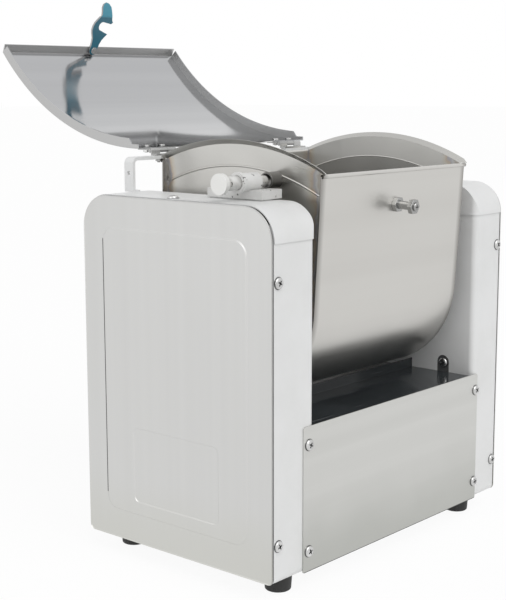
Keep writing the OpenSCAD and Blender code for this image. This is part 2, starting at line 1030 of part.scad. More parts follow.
module end_plate() {
  difference() {
    union() {
      intersection() {
        translate([end_x - tub_t, 0, 0])
          along_x(tub_t)
            tub_2d(tub_t, wall_up + tub_t);
        rod_x(0, 0, rim_z, fold_r + seat, outer_x);
      }
      intersection() {
        mirror([1, 0, 0])
          arc_strip(fold_r - seat, end_x, band_r, band_x, tub_t, rim_half);
        along_x(outer_x)
          tub_2d(tub_t, rim_up);
      }
    }
    rod_x(0, 0, 0, seal_r, outer_x);
  }
}

module tub_end_left() {
  color(steel) place() difference() {
    tub_place()
      mirror([1, 0, 0])
        end_plate();
    bush_place()
      rod_x(-outer_x, 0, 0, bush_r, outer_x);
  }
}

module tub_end_right() {
  color(steel) place() tub_place()
    end_plate();
}

module tub_rims() {
  color(steel) place() tub_place() for (side = [-1, 1]) flip(side) difference() {
    intersection() {
      arc_strip(band_r, band_x, rim_r, rim_x, rim_t, rim_half);
      rod_x(-outer_x, 0, 0, rim_sweep, outer_x);
    }
    for (y = [-outer_x, top_y - tub_t - seat]) {
      box(-outer_x, y, 0, outer_x, outer_x - top_y + tub_t + seat, wall_up + hem_r + seat);
    }
  }
}

trunnion_r = 25;
trunnion_bore = 16;
trunnion_flange_r = 42;
trunnion_flange_t = 6;
trunnion_in = 22;
trunnion_in_right = 19;
trunnion_left = inner_x + trunnion_in;
trunnion_right = inner_x + narrow + trunnion_in_right;

function trunnion_end(side) = side < 0 ? trunnion_left + tub_x : trunnion_right - tub_x;

module trunnions() {
  color(iron) place() tub_place() for (side = [-1, 1]) flip(side) difference() {
    union() {
      rod_x(-end_x - trunnion_flange_t, 0, 0, trunnion_flange_r, trunnion_flange_t);
      rod_x(-trunnion_end(side), 0, 0, trunnion_r, trunnion_end(side) - end_x);
      rod_x(-end_x, 0, 0, seal_r, tub_t + sheet);
    }
    rod_x(-outer_x, 0, 0, trunnion_bore, outer_x);
  }
}

stud_x = 0;
stud_z = 114.3;
stud_r = 5;
stud_len = 30;
stud_y = tub_r * cos(flare) + (stud_z + tub_r * sin(flare)) * tan(flare);
wall_nut_t = 6;
end_nut_t = 6;
end_nut_at = 22.4;
stud_nut_r = 9.6;

module stud_place() {
  tub_place()
    translate([stud_x, -stud_y, stud_z])
      rotate([90 + flare, 0, 0])
        children();
}

module latch_stud() {
  color(steel) place() stud_place() difference() {
    union() {
      cylinder(h = stud_len, r = stud_r);
      translate([0, 0, stud_len])
        cylinder(h = cut, r1 = stud_r, r2 = stud_r - cut);
    }
    for (a = [0, 90]) {
      rotate([0, 0, a])
        box(-cross_l * half, -cross_w * half, stud_len - cut, cross_l, cross_w, plate_t);
    }
  }
}

module stud_nut(at, t, r) {
  translate([0, 0, at])
    difference() {
      cylinder(h = t, r = r, $fn = hex);
      translate([0, 0, -cut])
        cylinder(h = t + cut + cut, r = stud_r);
    }
}

module stud_nuts() {
  color(steel) place() stud_place() {
    stud_nut(0, wall_nut_t, stud_nut_r);
    stud_nut(end_nut_at, end_nut_t, stud_nut_r);
  }
}

module lock_bush() {
  color(iron) place() bush_place() difference() {
    rod_x(-bush_end, 0, 0, bush_r, bush_end - end_x + tub_t + tub_x);
    rod_x(-bush_end - cut, 0, 0, bush_bore, bush_end);
  }
}

/* tilt lock on the left housing */
lock_r = 6;
lock_out = 2.5;
lock_tip = inner_x - lock_out;
knob_x = outer_x;
knob_t = 6;
knob_r = 12;
neck_r = 8;
neck_in = 29;
neck_end = inner_x + neck_in;
taper_t = 9;
lock_gap = 0.3;
ring_in = 45;
ring_x = inner_x + ring_in;
ring_t = 4;
ring_r = 12;
barrel_r = 10.5;
barrel_in = 12.5;
barrel_end = inner_x + barrel_in;
block_out = 5;
block_x = inner_x - block_out;
block_w = 35;
block_y = 55;
block_d = 83;
block_h = 12;
shim_in = 27.5;
shim_x = inner_x + shim_in;
shim_y = 57;
shim_d = 79;

module lock_pin() {
  color(steel) place() bush_place() difference() {
    union() {
      rod_x(-knob_x, 0, 0, knob_r, knob_t);
      translate([-knob_x + knob_t, 0, 0])
        rotate([0, 90, 0])
          cylinder(h = taper_t, r1 = knob_r - cut, r2 = neck_r);
      rod_x(-knob_x + knob_t - half, 0, 0, neck_r, knob_x - knob_t - neck_end + half);
      rod_x(-neck_end - half, 0, 0, lock_r, neck_end - lock_tip + half);
    }
    rod_y(-knob_x + knob_t + knob_t, -neck_r - cut, 0, pivot_r, plate_t);
  }
}

module plunger_housing() {
  color(white) place() bush_place() difference() {
    union() {
      rod_x(-ring_x, 0, 0, ring_r, ring_t);
      rod_x(-ring_x + ring_t - half, 0, 0, barrel_r, ring_x - ring_t - barrel_end + half);
    }
    rod_x(-ring_x - cut, 0, 0, neck_r + lock_gap, ring_x - barrel_end - plate_t + cut);
    rod_x(-ring_x, 0, 0, lock_r + lock_gap, ring_x);
    for (a = [45, 135, 225, 315]) {
      rotate([a, 0, 0])
        rod_x(-ring_x - cut, 0, ring_r - sheet, cross_w * half, cut + cut);
    }
  }
}

module plunger_base() {
  color(white) place() {
    difference() {
      box(-block_x - block_w, block_y, housing_h + foot_h + sheet, block_w, block_d, block_h - sheet);
      bush_place()
        rod_x(-outer_x, 0, 0, barrel_r, outer_x);
      for (y = [block_y + panel_edge, block_y + block_d - panel_edge * half]) {
        rod_z(-block_x - block_w * half, y, housing_h + foot_h + block_h - cross_w, screw_r, plate_t);
      }
    }
    box(-shim_x, shim_y, housing_h + foot_h, shim_x - inner_x - edge_r, shim_d, sheet);
  }
}

/* drive */
tilt_fit = 0.05;
tilt_bearing_t = 9;
tilt_bearing_r = 45;
seat_gap = 0.05;

module tilt_bearings() {
  color(bronze) place() translate([0, axis_y, tub_z]) both_walls() difference() {
    union() {
      rod_x(-plate_out_x - tilt_bearing_t, 0, 0, tilt_bearing_r, tilt_bearing_t);
      rod_x(-plate_out_x, 0, 0, tilt_hole_r, plate_t + case_t);
    }
    rod_x(-outer_x, 0, 0, trunnion_r + tilt_fit, outer_x);
  }
}

bridge_y = 26;
bridge_low = 138;
bridge_h = 214;
bearing_t = 8;
bearing_r = 17;

module bridge_plate() {
  color(iron) place() difference() {
    box(-bridge_x - bridge_t, bridge_y, bridge_low + foot_h, bridge_t,
      post_y[1] - post_y[0] + post_r * 4 + 4 * cut, bridge_h);
    for (z = [tub_z, counter_z]) {
      rod_x(-outer_x, axis_y, z, bearing_r, housing_w);
    }
    for (y = post_y) {
      for (z = post_up) {
        rod_x(-outer_x, y, z + foot_h, screw_r, housing_w);
      }
    }
  }
}

module bridge_posts() {
  color(steel) place() for (y = post_y) {
    for (z = post_up) {
      rod_x(-bridge_x, y, z + foot_h, post_r, bridge_x - plate_out_x);
      rod_x(-bridge_x - bridge_t, y, z + foot_h, screw_r, bridge_t);
    }
  }
}

counter_r = 9;

// ball bearings' outer and inner rings as one turned collar each
module bridge_bearings() {
  color(steel) place() {
    difference() {
      rod_x(-bridge_x - bridge_t, axis_y, tub_z, bearing_r, bearing_t);
      rod_x(-outer_x, axis_y, tub_z, shaft_r + seat_gap, housing_w);
    }
    difference() {
      rod_x(-bridge_x - bridge_t, axis_y, counter_z, bearing_r, bearing_t);
      rod_x(-outer_x, axis_y, counter_z, counter_r + seat_gap, housing_w);
    }
    difference() {
      rod_x(-plate_out_x - bearing_t, axis_y, counter_z, counter_seat_r, bearing_t + plate_t);
      rod_x(-outer_x, axis_y, counter_z, counter_r + seat_gap, housing_w);
    }
  }
}

right_bearing_t = 16;

module shaft_bearing_right() {
  color(iron) place() translate([narrow, axis_y, tub_z]) difference() {
    union() {
      rod_x(plate_out_x + tilt_bearing_t, 0, 0, tilt_bearing_r, sheet + sheet);
      rod_x(plate_out_x + tilt_bearing_t, 0, 0, trunnion_r + plate_t, right_bearing_t);
    }
    rod_x(0, 0, 0, shaft_r + seat_gap, outer_x);
    rod_x(0, 0, 0, trunnion_r + cut, trunnion_right - narrow + cut);
  }
}

shaft_in = 7;
shaft_in_right = 21;
shaft_left = outer_x - shaft_in;
shaft_right = outer_x - shaft_in_right;

module mix_shaft() {
  color(steel) place() rod_x(-shaft_left, axis_y, tub_z, shaft_r, shaft_left + shaft_right);
}

hub_r = 20;
hub_t = 16;
hub_in = 27;
hub_at = end_x - hub_in;
arm_bar_r = 8;
paddle_n = 3;
paddle_at = hub_at * half;
paddle_len = 80;

// two end hubs with opposed arms, two sweeping bars and staggered cross bars
module agitator() {
  color(steel) place() translate([tub_x, axis_y, tub_z]) difference() {
    union() {
      for (x = [-hub_at, hub_at - hub_t]) {
        rod_x(x, 0, 0, hub_r, hub_t);
        rod_z(x + hub_t * half, 0, -sweep_r, arm_bar_r, sweep_r + sweep_r);
      }
      for (z = [-sweep_r, sweep_r]) {
        rod_x(-hub_at, 0, z, bar_r, hub_at + hub_at);
      }
      for (i = [-1:1:1]) {
        rotate([45 + i * 45, 0, 0])
          rod_z(i * paddle_at, 0, -paddle_len, bar_r, paddle_len + paddle_len);
        rod_x(i * paddle_at - hub_t * half, 0, 0, hub_r - cut - cut, hub_t);
      }
    }
    rod_x(-outer_x, 0, 0, shaft_r, outer_x + outer_x);
  }
}

/* gears */
addendum = 1;
dedendum = 1.2;
root_share = 0.31;
pitch_share = 0.235;
upper_share = 0.165;
tip_share = 0.095;
mid_add = 0.55;
tooth_side = [[-root_share, -dedendum], [-pitch_share, 0], [-upper_share, mid_add], [-tip_share, addendum],
  [tip_share, addendum], [upper_share, mid_add], [pitch_share, 0], [root_share, -dedendum]];

// one spur gear outline: a root, a pitch and two flank points on each side of a tooth
function tooth_a(n, i, share) = 360 * (i + share) / n;
function tooth_r(n, up) = gear_m * (n * half + up);
function tooth_turn(a) = [cos(a), sin(a)];
function tooth_point(n, i, share, up) = tooth_r(n, up) * tooth_turn(tooth_a(n, i, share));

module gear_2d(n) {
  polygon([for (i = [0:1:n - 1]) for (p = tooth_side) tooth_point(n, i, p[0], p[1])]);
}

gear_in = 32;
gear_x = outer_x - gear_in;
web_in = 30;
web_out = 64;
web_t = 3;
gear_hub_r = 24;
hub_extra = 4;

// each shaft's teeth stand in the other's gaps along the line of centres
module large_gear() {
  color(iron) place() translate([-gear_x, axis_y, tub_z]) difference() {
    union() {
      rotate([-90, 0, 0])
        along_x(gear_face)
          gear_2d(gear_teeth);
      rod_x(0, 0, 0, gear_hub_r, gear_face + hub_extra);
    }
    for (x = [-cut, gear_face - web_t]) {
      difference() {
        rod_x(x, 0, 0, web_out, web_t + cut);
        rod_x(x - cut, 0, 0, web_in, web_t + cut + cut + cut);
      }
    }
    for (a = [0, 60, 120, 180, 240, 300]) {
      rotate([a, 0, 0])
        rod_x(-cut, 0, (web_in + web_out) * half, tub_t * 5, gear_face + cut + cut);
    }
    rod_x(-gear_face, 0, 0, shaft_r, gear_face * 3);
  }
}

module pinion() {
  color(steel) place() translate([-gear_x - sheet, axis_y, counter_z]) difference() {
    rotate([90 + 180 / pinion_teeth, 0, 0])
      along_x(gear_face + sheet + sheet)
        gear_2d(pinion_teeth);
    rod_x(-gear_face, 0, 0, counter_r, gear_face * 3);
  }
}

counter_left = shaft_left;
counter_right = inner_x + plate_t;

module counter_shaft() {
  color(steel) place() rod_x(-counter_left, axis_y, counter_z, counter_r, counter_left - counter_right);
}

belt_in = 23;
belt_x = outer_x - belt_in;
belt_top_w = 12;
belt_low_w = 8;
belt_depth = 7;
belt_gap = 0.4;
rim_w = 15;
groove_half = belt_top_w * half + belt_gap + belt_gap;

// a pulley turned with a V groove, centred on the belt's plane
module pulley(r, bore, hub, hub_l) {
  rotate([0, 90, 0])
    difference() {
      union() {
        translate([0, 0, -rim_w * half])
          cylinder(h = rim_w, r = r + belt_gap + 2);
        translate([0, 0, -rim_w * half])
          cylinder(h = rim_w + hub_l, r = hub);
      }
      rotate_extrude()
        polygon([[r - belt_depth - cut, -belt_low_w * half], [r + plate_t, -groove_half],
          [r + plate_t, groove_half], [r - belt_depth - cut, belt_low_w * half]]);
      translate([0, 0, -outer_x])
        cylinder(h = body_w, r = bore);
    }
}

module large_pulley() {
  color(iron) place() translate([-belt_x, axis_y, counter_z]) difference() {
    pulley(pulley_big, counter_r, gear_hub_r - plate_t, 0);
    for (a = [30, 102, 174, 246, 318]) {
      rotate([a, 0, 0])
        rod_x(-rim_w, 0, pulley_big * half + cut, tub_t * 5, rim_w + rim_w);
    }
  }
}

motor_z = motor_up + foot_h;
motor_shaft_r = 7;

module motor_pulley() {
  color(iron) place() translate([-belt_x, motor_y, motor_z])
    pulley(pulley_small, motor_shaft_r, pulley_small * half, 0);
}

tip_in = 14;
shaft_tip = outer_x - tip_in;
flange_t = 8;
motor_x0 = wall_x;

module motor_shaft() {
  color(steel) place() {
    rod_x(-shaft_tip, motor_y, motor_z, motor_shaft_r, shaft_tip - motor_x0 + flange_t + flange_t);
  }
}

fin_n = 10;
fin_t = 2.5;
fin_h = 4;
bell_len = 34;
terminal_x = 52;
terminal_l = 70;
terminal_w = 50;

module motor_body() {
  color(iron) place() translate([-motor_x0 + flange_t, motor_y, motor_z]) difference() {
    union() {
      rod_x(0, 0, 0, motor_r - fin_h, motor_len);
      for (i = [0:1:fin_n - 1]) {
        rotate([360 * (i + half) / fin_n, 0, 0])
          box(bell_len, -fin_t * half, motor_r - fin_h - fin_h, motor_len - bell_len - bell_len + cut, fin_t,
            fin_h + fin_h);
      }
      rod_x(motor_len - bell_len, 0, 0, motor_r + cut, bell_len);
      rod_x(motor_len - cut, 0, 0, motor_r - fin_h - fin_h, fin_h + cut);
      box(terminal_x, -terminal_w * half, motor_r * half, terminal_l, terminal_w, motor_r * half + fin_h);
    }
    rod_x(-cut, 0, 0, motor_shaft_r + cut, flange_t + flange_t + cut);
  }
}

module motor_flange() {
  color(iron) place() translate([-motor_x0, motor_y, motor_z]) difference() {
    rod_x(0, 0, 0, motor_r + tub_t, flange_t);
    rod_x(-cut, 0, 0, motor_shaft_r + cut, flange_t + cut + cut);
  }
}

cradle_w = 26;
cradle_d = 120;

module motor_cradle() {
  color(iron) place() difference() {
    for (x = [-motor_x0 + flange_t + tub_t, -motor_x0 + flange_t + motor_len - cradle_w]) {
      box(x, motor_y - cradle_d * half, foot_h + case_in + sheet, cradle_w, cradle_d,
        motor_up - motor_r * half);
    }
    rod_x(-outer_x, motor_y, motor_z, motor_r - fin_h, body_w);
    rod_x(-motor_x0 + flange_t + motor_len - bell_len, motor_y, motor_z, motor_r + cut, body_w);
  }
}

belt_c = counter_z - motor_z;
belt_off = axis_y - motor_y;
belt_span = sqrt(belt_c * belt_c + belt_off * belt_off);
belt_turn = atan2(belt_off, belt_c);
belt_wrap = asin((pulley_big - pulley_small) / belt_span);

module belt_section() {
  polygon([[-belt_depth, -belt_low_w * half], [0, -belt_top_w * half + belt_gap * half],
    [0, belt_top_w * half - belt_gap * half], [-belt_depth, belt_low_w * half]]);
}

// a belt run round both pulleys: two arcs and two straight sides
module v_belt() {
  run = belt_span * cos(belt_wrap);
  color(black) place() translate([-belt_x, motor_y, motor_z]) rotate([-belt_turn, 0, 0]) rotate([0, 90, 0]) {
    rotate([0, 0, belt_wrap - 90])
      rotate_extrude(angle = 180 - belt_wrap - belt_wrap)
        translate([pulley_small + belt_lift, 0])
          belt_section();
    translate([-belt_span, 0, 0])
      rotate([0, 0, 90 - belt_wrap])
        rotate_extrude(angle = 180 + belt_wrap + belt_wrap)
          translate([pulley_big + belt_lift, 0])
            belt_section();
    for (s = [-1, 1]) {
      rotate([0, 0, s * (90 - belt_wrap)])
        translate([pulley_small + belt_lift, 0, 0])
          rotate([-s * 90, 0, 0])
            linear_extrude(height = run)
              belt_section();
    }
  }
}

belt_lift = 0.5;

/* electrics */
box_y = 150;
box_d = 100;
box_low = 110;
box_h = 110;
box_w = 34;

module control_box() {
  color(black) place()
    box(plate_out_x + narrow, box_y, box_low + foot_h, box_w, box_d, box_h);
}

bezel_t = 3;
button_r = 11;
button_gap = 0.4;
bezel_in = 12;

module button_bezels() {
  color(black) place() for (z = [start_up, stop_up]) {
    translate([outer_x, button_y, z + foot_h])
      difference() {
        union() {
          rod_x(0, 0, 0, bezel_r, bezel_t);
          rod_x(-bezel_in, 0, 0, stem_r + sheet, bezel_in + half);
        }
        rod_x(cut, 0, 0, button_r + button_gap, bezel_t);
        rod_x(-outer_x, 0, 0, stem_r - sheet, body_w);
      }
  }
}

module button(z) {
  translate([outer_x, button_y, z + foot_h]) {
    rod_x(cut + travel, 0, 0, button_r, button_t);
    rod_x(-bezel_in + travel, 0, 0, stem_r - sheet - button_gap, bezel_in + cut + half);
  }
}

module start_button() {
  color(green) place() button(start_up);
}

module stop_button() {
  color(red) place() button(stop_up);
}

gland_out = 12;
gland_nut_r = 13;
gland_bore = 4.5;

module cord_gland() {
  color(black) place() translate([outer_x - gland_x, body_d - case_in, gland_up + foot_h]) difference() {
    union() {
      rod_y(0, 0, 0, gland_nut_r * 0.85, gland_out);
      rotate([-90, 0, 0])
        cylinder(h = plate_t + cut, r = gland_nut_r, $fn = hex);
      rod_y(0, -gland_out, 0, gland_r, gland_out + cut);
      translate([0, -case_t, 0])
        rotate([90, 0, 0])
          cylinder(h = plate_t, r = gland_nut_r, $fn = hex);
    }
    rod_y(0, -gland_out - cut, 0, gland_bore, gland_out * 3);
  }
}

casing_left();
casing_right();
cap_left();
cap_right();
cover_left();
cover_right();
cover_screws();
plate_left();
plate_right();
front_panel();
rear_panel();
panel_screws();
base_tray();
base_floor();
feet();
foot_bolts();
hinge_arm_left();
hinge_arm_right();
hinge_leaves();
tilt_bearings();
bridge_plate();
bridge_posts();
bridge_bearings();
shaft_bearing_right();
motor_body();
motor_flange();
motor_cradle();
v_belt();
control_box();
button_bezels();
cord_gland();
plunger_base();
plunger_housing();
tub_shell();
tub_end_left();
tub_end_right();
tub_rims();
trunnions();
latch_stud();
stud_nuts();
lock_bush();
mix_shaft();
agitator();
large_gear();
counter_shaft();
pinion();
large_pulley();
motor_shaft();
motor_pulley();
lid_sheet();
lid_leaves();
lid_screws();
hook();
hook_screw();
lock_pin();
start_button();
stop_button();
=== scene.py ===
from math import atan2, cos, degrees, hypot, pi, radians, sin, tan

import bmesh
import bpy
from mathutils import Euler, Matrix, Vector


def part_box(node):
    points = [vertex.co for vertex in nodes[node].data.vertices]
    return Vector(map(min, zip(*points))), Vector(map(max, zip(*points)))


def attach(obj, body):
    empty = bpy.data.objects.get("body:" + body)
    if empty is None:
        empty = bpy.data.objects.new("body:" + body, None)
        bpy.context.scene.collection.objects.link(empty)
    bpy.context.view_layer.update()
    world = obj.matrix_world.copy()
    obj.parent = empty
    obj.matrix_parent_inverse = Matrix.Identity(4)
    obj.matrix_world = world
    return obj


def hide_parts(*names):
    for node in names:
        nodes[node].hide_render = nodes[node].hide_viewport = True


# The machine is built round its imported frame, in the frame's axes: X to the right,
# Y to the back and Z up from the floor. Sizes are in metres, and only places that
# are measured from the machine's own middle, front and underside are in mm.
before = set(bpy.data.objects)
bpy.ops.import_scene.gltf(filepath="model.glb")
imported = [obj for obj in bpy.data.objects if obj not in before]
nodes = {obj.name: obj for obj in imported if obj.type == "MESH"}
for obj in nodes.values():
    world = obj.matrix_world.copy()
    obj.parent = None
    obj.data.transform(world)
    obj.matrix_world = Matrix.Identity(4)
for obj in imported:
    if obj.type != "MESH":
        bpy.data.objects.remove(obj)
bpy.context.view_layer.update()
bpy.context.scene.view_settings.view_transform = "Standard"

# The two side housings are folded from painted sheet: a casing that wraps front,
# inner side, rear and underside, and a separate cap over its top. The paint is a
# satin white with a faint orange-peel skin and a little handling dirt.
def shared_effect(name, inputs, outputs):
    """A node group with named inputs and outputs, used by several finishes."""
    effect = bpy.data.node_groups.new(name, "ShaderNodeTree")
    for title, kind, value in inputs:
        socket = effect.interface.new_socket(name=title, in_out="INPUT", socket_type=kind)
        if value is not None:
            socket.default_value = value
    for title, kind in outputs:
        effect.interface.new_socket(name=title, in_out="OUTPUT", socket_type=kind)
    inside = effect.nodes.new("NodeGroupInput")
    outside = effect.nodes.new("NodeGroupOutput")
    return effect, inside, outside


def add_node(tree, kind, **values):
    """A node with its settings and its sockets' values, a socket's spaces written as _."""
    node = tree.nodes.new(kind)
    for key, value in values.items():
        socket = key.replace("_", " ")
        if socket in node.inputs:
            node.inputs[socket].default_value = value
        else:
            setattr(node, key, value)
    return node


def wire(tree, *runs):
    """Joins sockets: each run is a node and its output, then a node and its input."""
    for giver, output, taker, entry in runs:
        tree.links.new(giver.outputs[output], taker.inputs[entry])


def new_finish(name):
    """An empty finish with its tree, its shader and the coordinates of the piece."""
    finish = bpy.data.materials.new(name)
    finish.use_nodes = True
    tree = finish.node_tree
    return finish, tree, tree.nodes["Principled BSDF"], add_node(tree, "ShaderNodeTexCoord")


smudge_effect, smudge_in, smudge_out = shared_effect(
    "handling_smudges",
    [("Position", "NodeSocketVector", None), ("Size", "NodeSocketFloat", 12.0)],
    [("Mask", "NodeSocketFloat"), ("Height", "NodeSocketFloat")],
)
smudge_cloud = add_node(smudge_effect, "ShaderNodeTexNoise", Detail=5.0, Roughness=0.6)
smudge_skin = add_node(smudge_effect, "ShaderNodeTexNoise", Scale=900.0, Detail=1.0)
smudge_range = add_node(smudge_effect, "ShaderNodeMapRange", From_Min=0.42, From_Max=0.68)
wire(
    smudge_effect,
    (smudge_in, "Position", smudge_cloud, "Vector"),
    (smudge_in, "Size", smudge_cloud, "Scale"),
    (smudge_in, "Position", smudge_skin, "Vector"),
    (smudge_cloud, "Fac", smudge_range, "Value"),
    (smudge_range, "Result", smudge_out, "Mask"),
    (smudge_skin, "Fac", smudge_out, "Height"),
)


def painted_finish(name, colour, dirty, roughness, skin):
    """A sprayed coat: slight colour drift, a skin texture and smudged gloss."""
    dulling, skin_depth = 0.1, 0.0002
    finish, tree, surface, place = new_finish(name)
    smudge = add_node(tree, "ShaderNodeGroup", node_tree=smudge_effect)
    tint = add_node(tree, "ShaderNodeMix", data_type="RGBA", A=(*colour, 1.0), B=(*dirty, 1.0))
    gloss = add_node(tree, "ShaderNodeMapRange", To_Min=roughness, To_Max=roughness + dulling)
    relief = add_node(tree, "ShaderNodeBump", Strength=skin, Distance=skin_depth)
    wire(
        tree,
        (place, "Object", smudge, "Position"),
        (smudge, "Mask", tint, "Factor"),
        (tint, "Result", surface, "Base Color"),
        (smudge, "Mask", gloss, "Value"),
        (gloss, "Result", surface, "Roughness"),
        (smudge, "Height", relief, "Height"),
        (relief, "Normal", surface, "Normal"),
    )
    return finish


def dress(finish, *names):
    """Gives a finish to nodes of the frame."""
    for name in names:
        mesh = nodes[name].data
        mesh.materials.clear()
        mesh.materials.append(finish)


white_paint = painted_finish("white_paint", (0.78, 0.785, 0.785), (0.74, 0.745, 0.74), 0.36, 0.06)
dress(white_paint, "casing_left", "casing_right", "cap_left", "cap_right", "base_floor")

# The side covers are shallow pans of brushed stainless sheet, pressed with a large
# and a small raised field, with their edges turned in to sit inside the casings.
# The grain runs upright. One cover is modelled and copied as its mirror image.
grain_effect, grain_in, grain_out = shared_effect(
    "brushed_grain",
    [("Stretched Position", "NodeSocketVector", None)],
    [("Line", "NodeSocketFloat"), ("Band", "NodeSocketFloat")],
)
grain_line = add_node(grain_effect, "ShaderNodeTexNoise", Scale=1.0, Detail=3.0, Roughness=0.7)
grain_band = add_node(grain_effect, "ShaderNodeTexNoise", Scale=0.06, Detail=2.0)
wire(
    grain_effect,
    (grain_in, "Stretched Position", grain_line, "Vector"),
    (grain_in, "Stretched Position", grain_band, "Vector"),
    (grain_line, "Fac", grain_out, "Line"),
    (grain_band, "Fac", grain_out, "Band"),
)


def maths(tree, operation, *values):
    """A sum on a value, with what its second and third sockets hold."""
    node = add_node(tree, "ShaderNodeMath", operation=operation)
    for number, value in enumerate(values, 1):
        node.inputs[number].default_value = value
    return node


def steel_finish(name, bright, deep, roughness, relief_depth, grain_scale=(300, 300, 300), spread=0.1):
    """Bare steel with a directional grain, bands of two tones and faint smudges."""
    smudge_size, smudge_share, groove = 7.0, 0.6, 0.0001
    finish, tree, surface, place = new_finish(name)
    surface.inputs["Metallic"].default_value = 1.0
    turn = add_node(tree, "ShaderNodeMapping", Scale=grain_scale)
    grain = add_node(tree, "ShaderNodeGroup", node_tree=grain_effect)
    smudge = add_node(tree, "ShaderNodeGroup", node_tree=smudge_effect, Size=smudge_size)
    tone = add_node(tree, "ShaderNodeMix", data_type="RGBA", A=(*deep, 1.0), B=(*bright, 1.0))
    level = add_node(tree, "ShaderNodeMapRange", From_Min=0.3, From_Max=0.7)
    matt = maths(tree, "MULTIPLY_ADD", spread, roughness)
    matter = maths(tree, "MULTIPLY_ADD", spread * smudge_share)
    relief = add_node(tree, "ShaderNodeBump", Strength=relief_depth, Distance=groove)
    wire(
        tree,
        (place, "Object", turn, "Vector"),
        (turn, "Vector", grain, "Stretched Position"),
        (place, "Object", smudge, "Position"),
        (grain, "Band", level, "Value"),
        (level, "Result", tone, "Factor"),
        (tone, "Result", surface, "Base Color"),
        (grain, "Line", matt, 0),
        (smudge, "Mask", matter, 0),
        (matt, "Value", matter, 2),
        (matter, "Value", surface, "Roughness"),
        (grain, "Line", relief, "Height"),
        (relief, "Normal", surface, "Normal"),
    )
    return finish


def colour_so_far(finish):
    """A finish's tree, its shader and the socket that colours it."""
    tree = finish.node_tree
    surface = tree.nodes["Principled BSDF"]
    return tree, surface, surface.inputs["Base Color"].links[0].from_socket


def over_base(finish, mask, colour):
    """Lays a second colour over a finish's own where a mask of its nodes says."""
    tree, surface, under = colour_so_far(finish)
    laid = add_node(tree, "ShaderNodeMix", data_type="RGBA", B=(*colour, 1))
    tree.links.new(mask, laid.inputs["Factor"])
    tree.links.new(under, laid.inputs["A"])
    wire(tree, (laid, "Result", surface, "Base Color"))


def piece_axes(tree):
    """The coordinates of the piece, whole and split into its axes."""
    place = add_node(tree, "ShaderNodeTexCoord")
    axes = add_node(tree, "ShaderNodeSeparateXYZ")
    wire(tree, (place, "Object", axes, "Vector"))
    return place, axes


def darkened_below(finish, colour, low, high):
    """Darkens a sheet's colour towards its lower edge: painted shade for the darker floor it reflects there.
    """
    tree = finish.node_tree
    waviness = 0.06
    place, axes = piece_axes(tree)
    cloud = add_node(tree, "ShaderNodeTexNoise", Scale=9.0, Detail=2.0)
    wander = maths(tree, "MULTIPLY_ADD", waviness)
    fade = add_node(tree, "ShaderNodeMapRange", interpolation_type="SMOOTHSTEP",
                    From_Min=high + waviness / 2, From_Max=low + waviness / 2)
    wire(
        tree,
        (place, "Object", cloud, "Vector"),
        (cloud, "Fac", wander, 0),
        (axes, "Z", wander, 2),
        (wander, "Value", fade, "Value"),
    )
    over_base(finish, fade.outputs["Result"], colour)


def painted_shade_across(finish, axis, middle, start, full, colour):
    """Paints shade onto a finish by the distance from a middle plane, from a start to a full depth."""
    tree = finish.node_tree
    place, axes = piece_axes(tree)
    off = maths(tree, "SUBTRACT", middle)
    size = maths(tree, "ABSOLUTE")
    fade = add_node(tree, "ShaderNodeMapRange", From_Min=start, From_Max=full)
    wire(
        tree,
        (axes, axis, off, 0),
        (off, "Value", size, 0),
        (size, "Value", fade, "Value"),
    )
    over_base(finish, fade.outputs["Result"], colour)


def painted_crease_shade(finish, y, width, low, high):
    """Painted shade: a dark line along the crease at the rear of the pressed field."""
    tree = finish.node_tree
    place, axes = piece_axes(tree)
    near = maths(tree, "COMPARE", y, width)
    length = maths(tree, "COMPARE", (low + high) / 2, (high - low) / 2)
    both = maths(tree, "MULTIPLY")
    wire(
        tree,
        (axes, "Y", near, 0),
        (axes, "Z", length, 0),
        (near, "Value", both, 0),
        (length, "Value", both, 1),
    )
    over_base(finish, both.outputs["Value"], (0.05, 0.05, 0.05))


def alone(piece):
    """Makes a piece the only one selected and the active one."""
    bpy.ops.object.select_all(action="DESELECT")
    piece.select_set(True)
    bpy.context.view_layer.objects.active = piece


def set_down(piece):
    """Puts a piece's place, turn and size into its mesh."""
    alone(piece)
    bpy.ops.object.transform_apply(location=True, rotation=True, scale=True)


def started(primitive, **sizes):
    """A primitive, selected by itself, with its place in its mesh."""
    bpy.ops.object.select_all(action="DESELECT")
    primitive(**sizes)
    set_down(bpy.context.object)
    return bpy.context.object


def edit(piece, picked="DESELECT"):
    """Opens a piece for shaping, with nothing picked or with all of it."""
    alone(piece)
    bpy.ops.object.mode_set(mode="EDIT")
    bpy.ops.mesh.select_mode(type="FACE")
    bpy.ops.mesh.select_all(action=picked)


def close():
    """Ends the shaping of a piece."""
    bpy.ops.object.mode_set(mode="OBJECT")


def pick(piece, kind, test):
    """Picks the faces, edges or corners whose middle passes a test, and no others."""
    bpy.ops.mesh.select_mode(type={"faces": "FACE", "edges": "EDGE", "verts": "VERT"}[kind])
    bpy.ops.mesh.select_all(action="DESELECT")
    shape = bmesh.from_edit_mesh(piece.data)
    for part in getattr(shape, kind):
        if kind == "verts":
            chosen = test(part.co)
        elif kind == "edges":
            chosen = test((part.verts[0].co + part.verts[1].co) / 2, part)
        else:
            chosen = test(part.calc_center_median(), part.normal)
        if chosen:
            part.select_set(True)
    shape.select_flush_mode()
    bmesh.update_edit_mesh(piece.data)


def draw_out(x, y, z):
    """Extrudes what is picked."""
    bpy.ops.mesh.extrude_region_move(TRANSFORM_OT_translate={"value": (x, y, z)})


def resize(x, y, z):
    """Scales what is picked about the origin."""
    bpy.ops.transform.resize(value=(x, y, z), center_override=(0, 0, 0))


hair = 0.00001


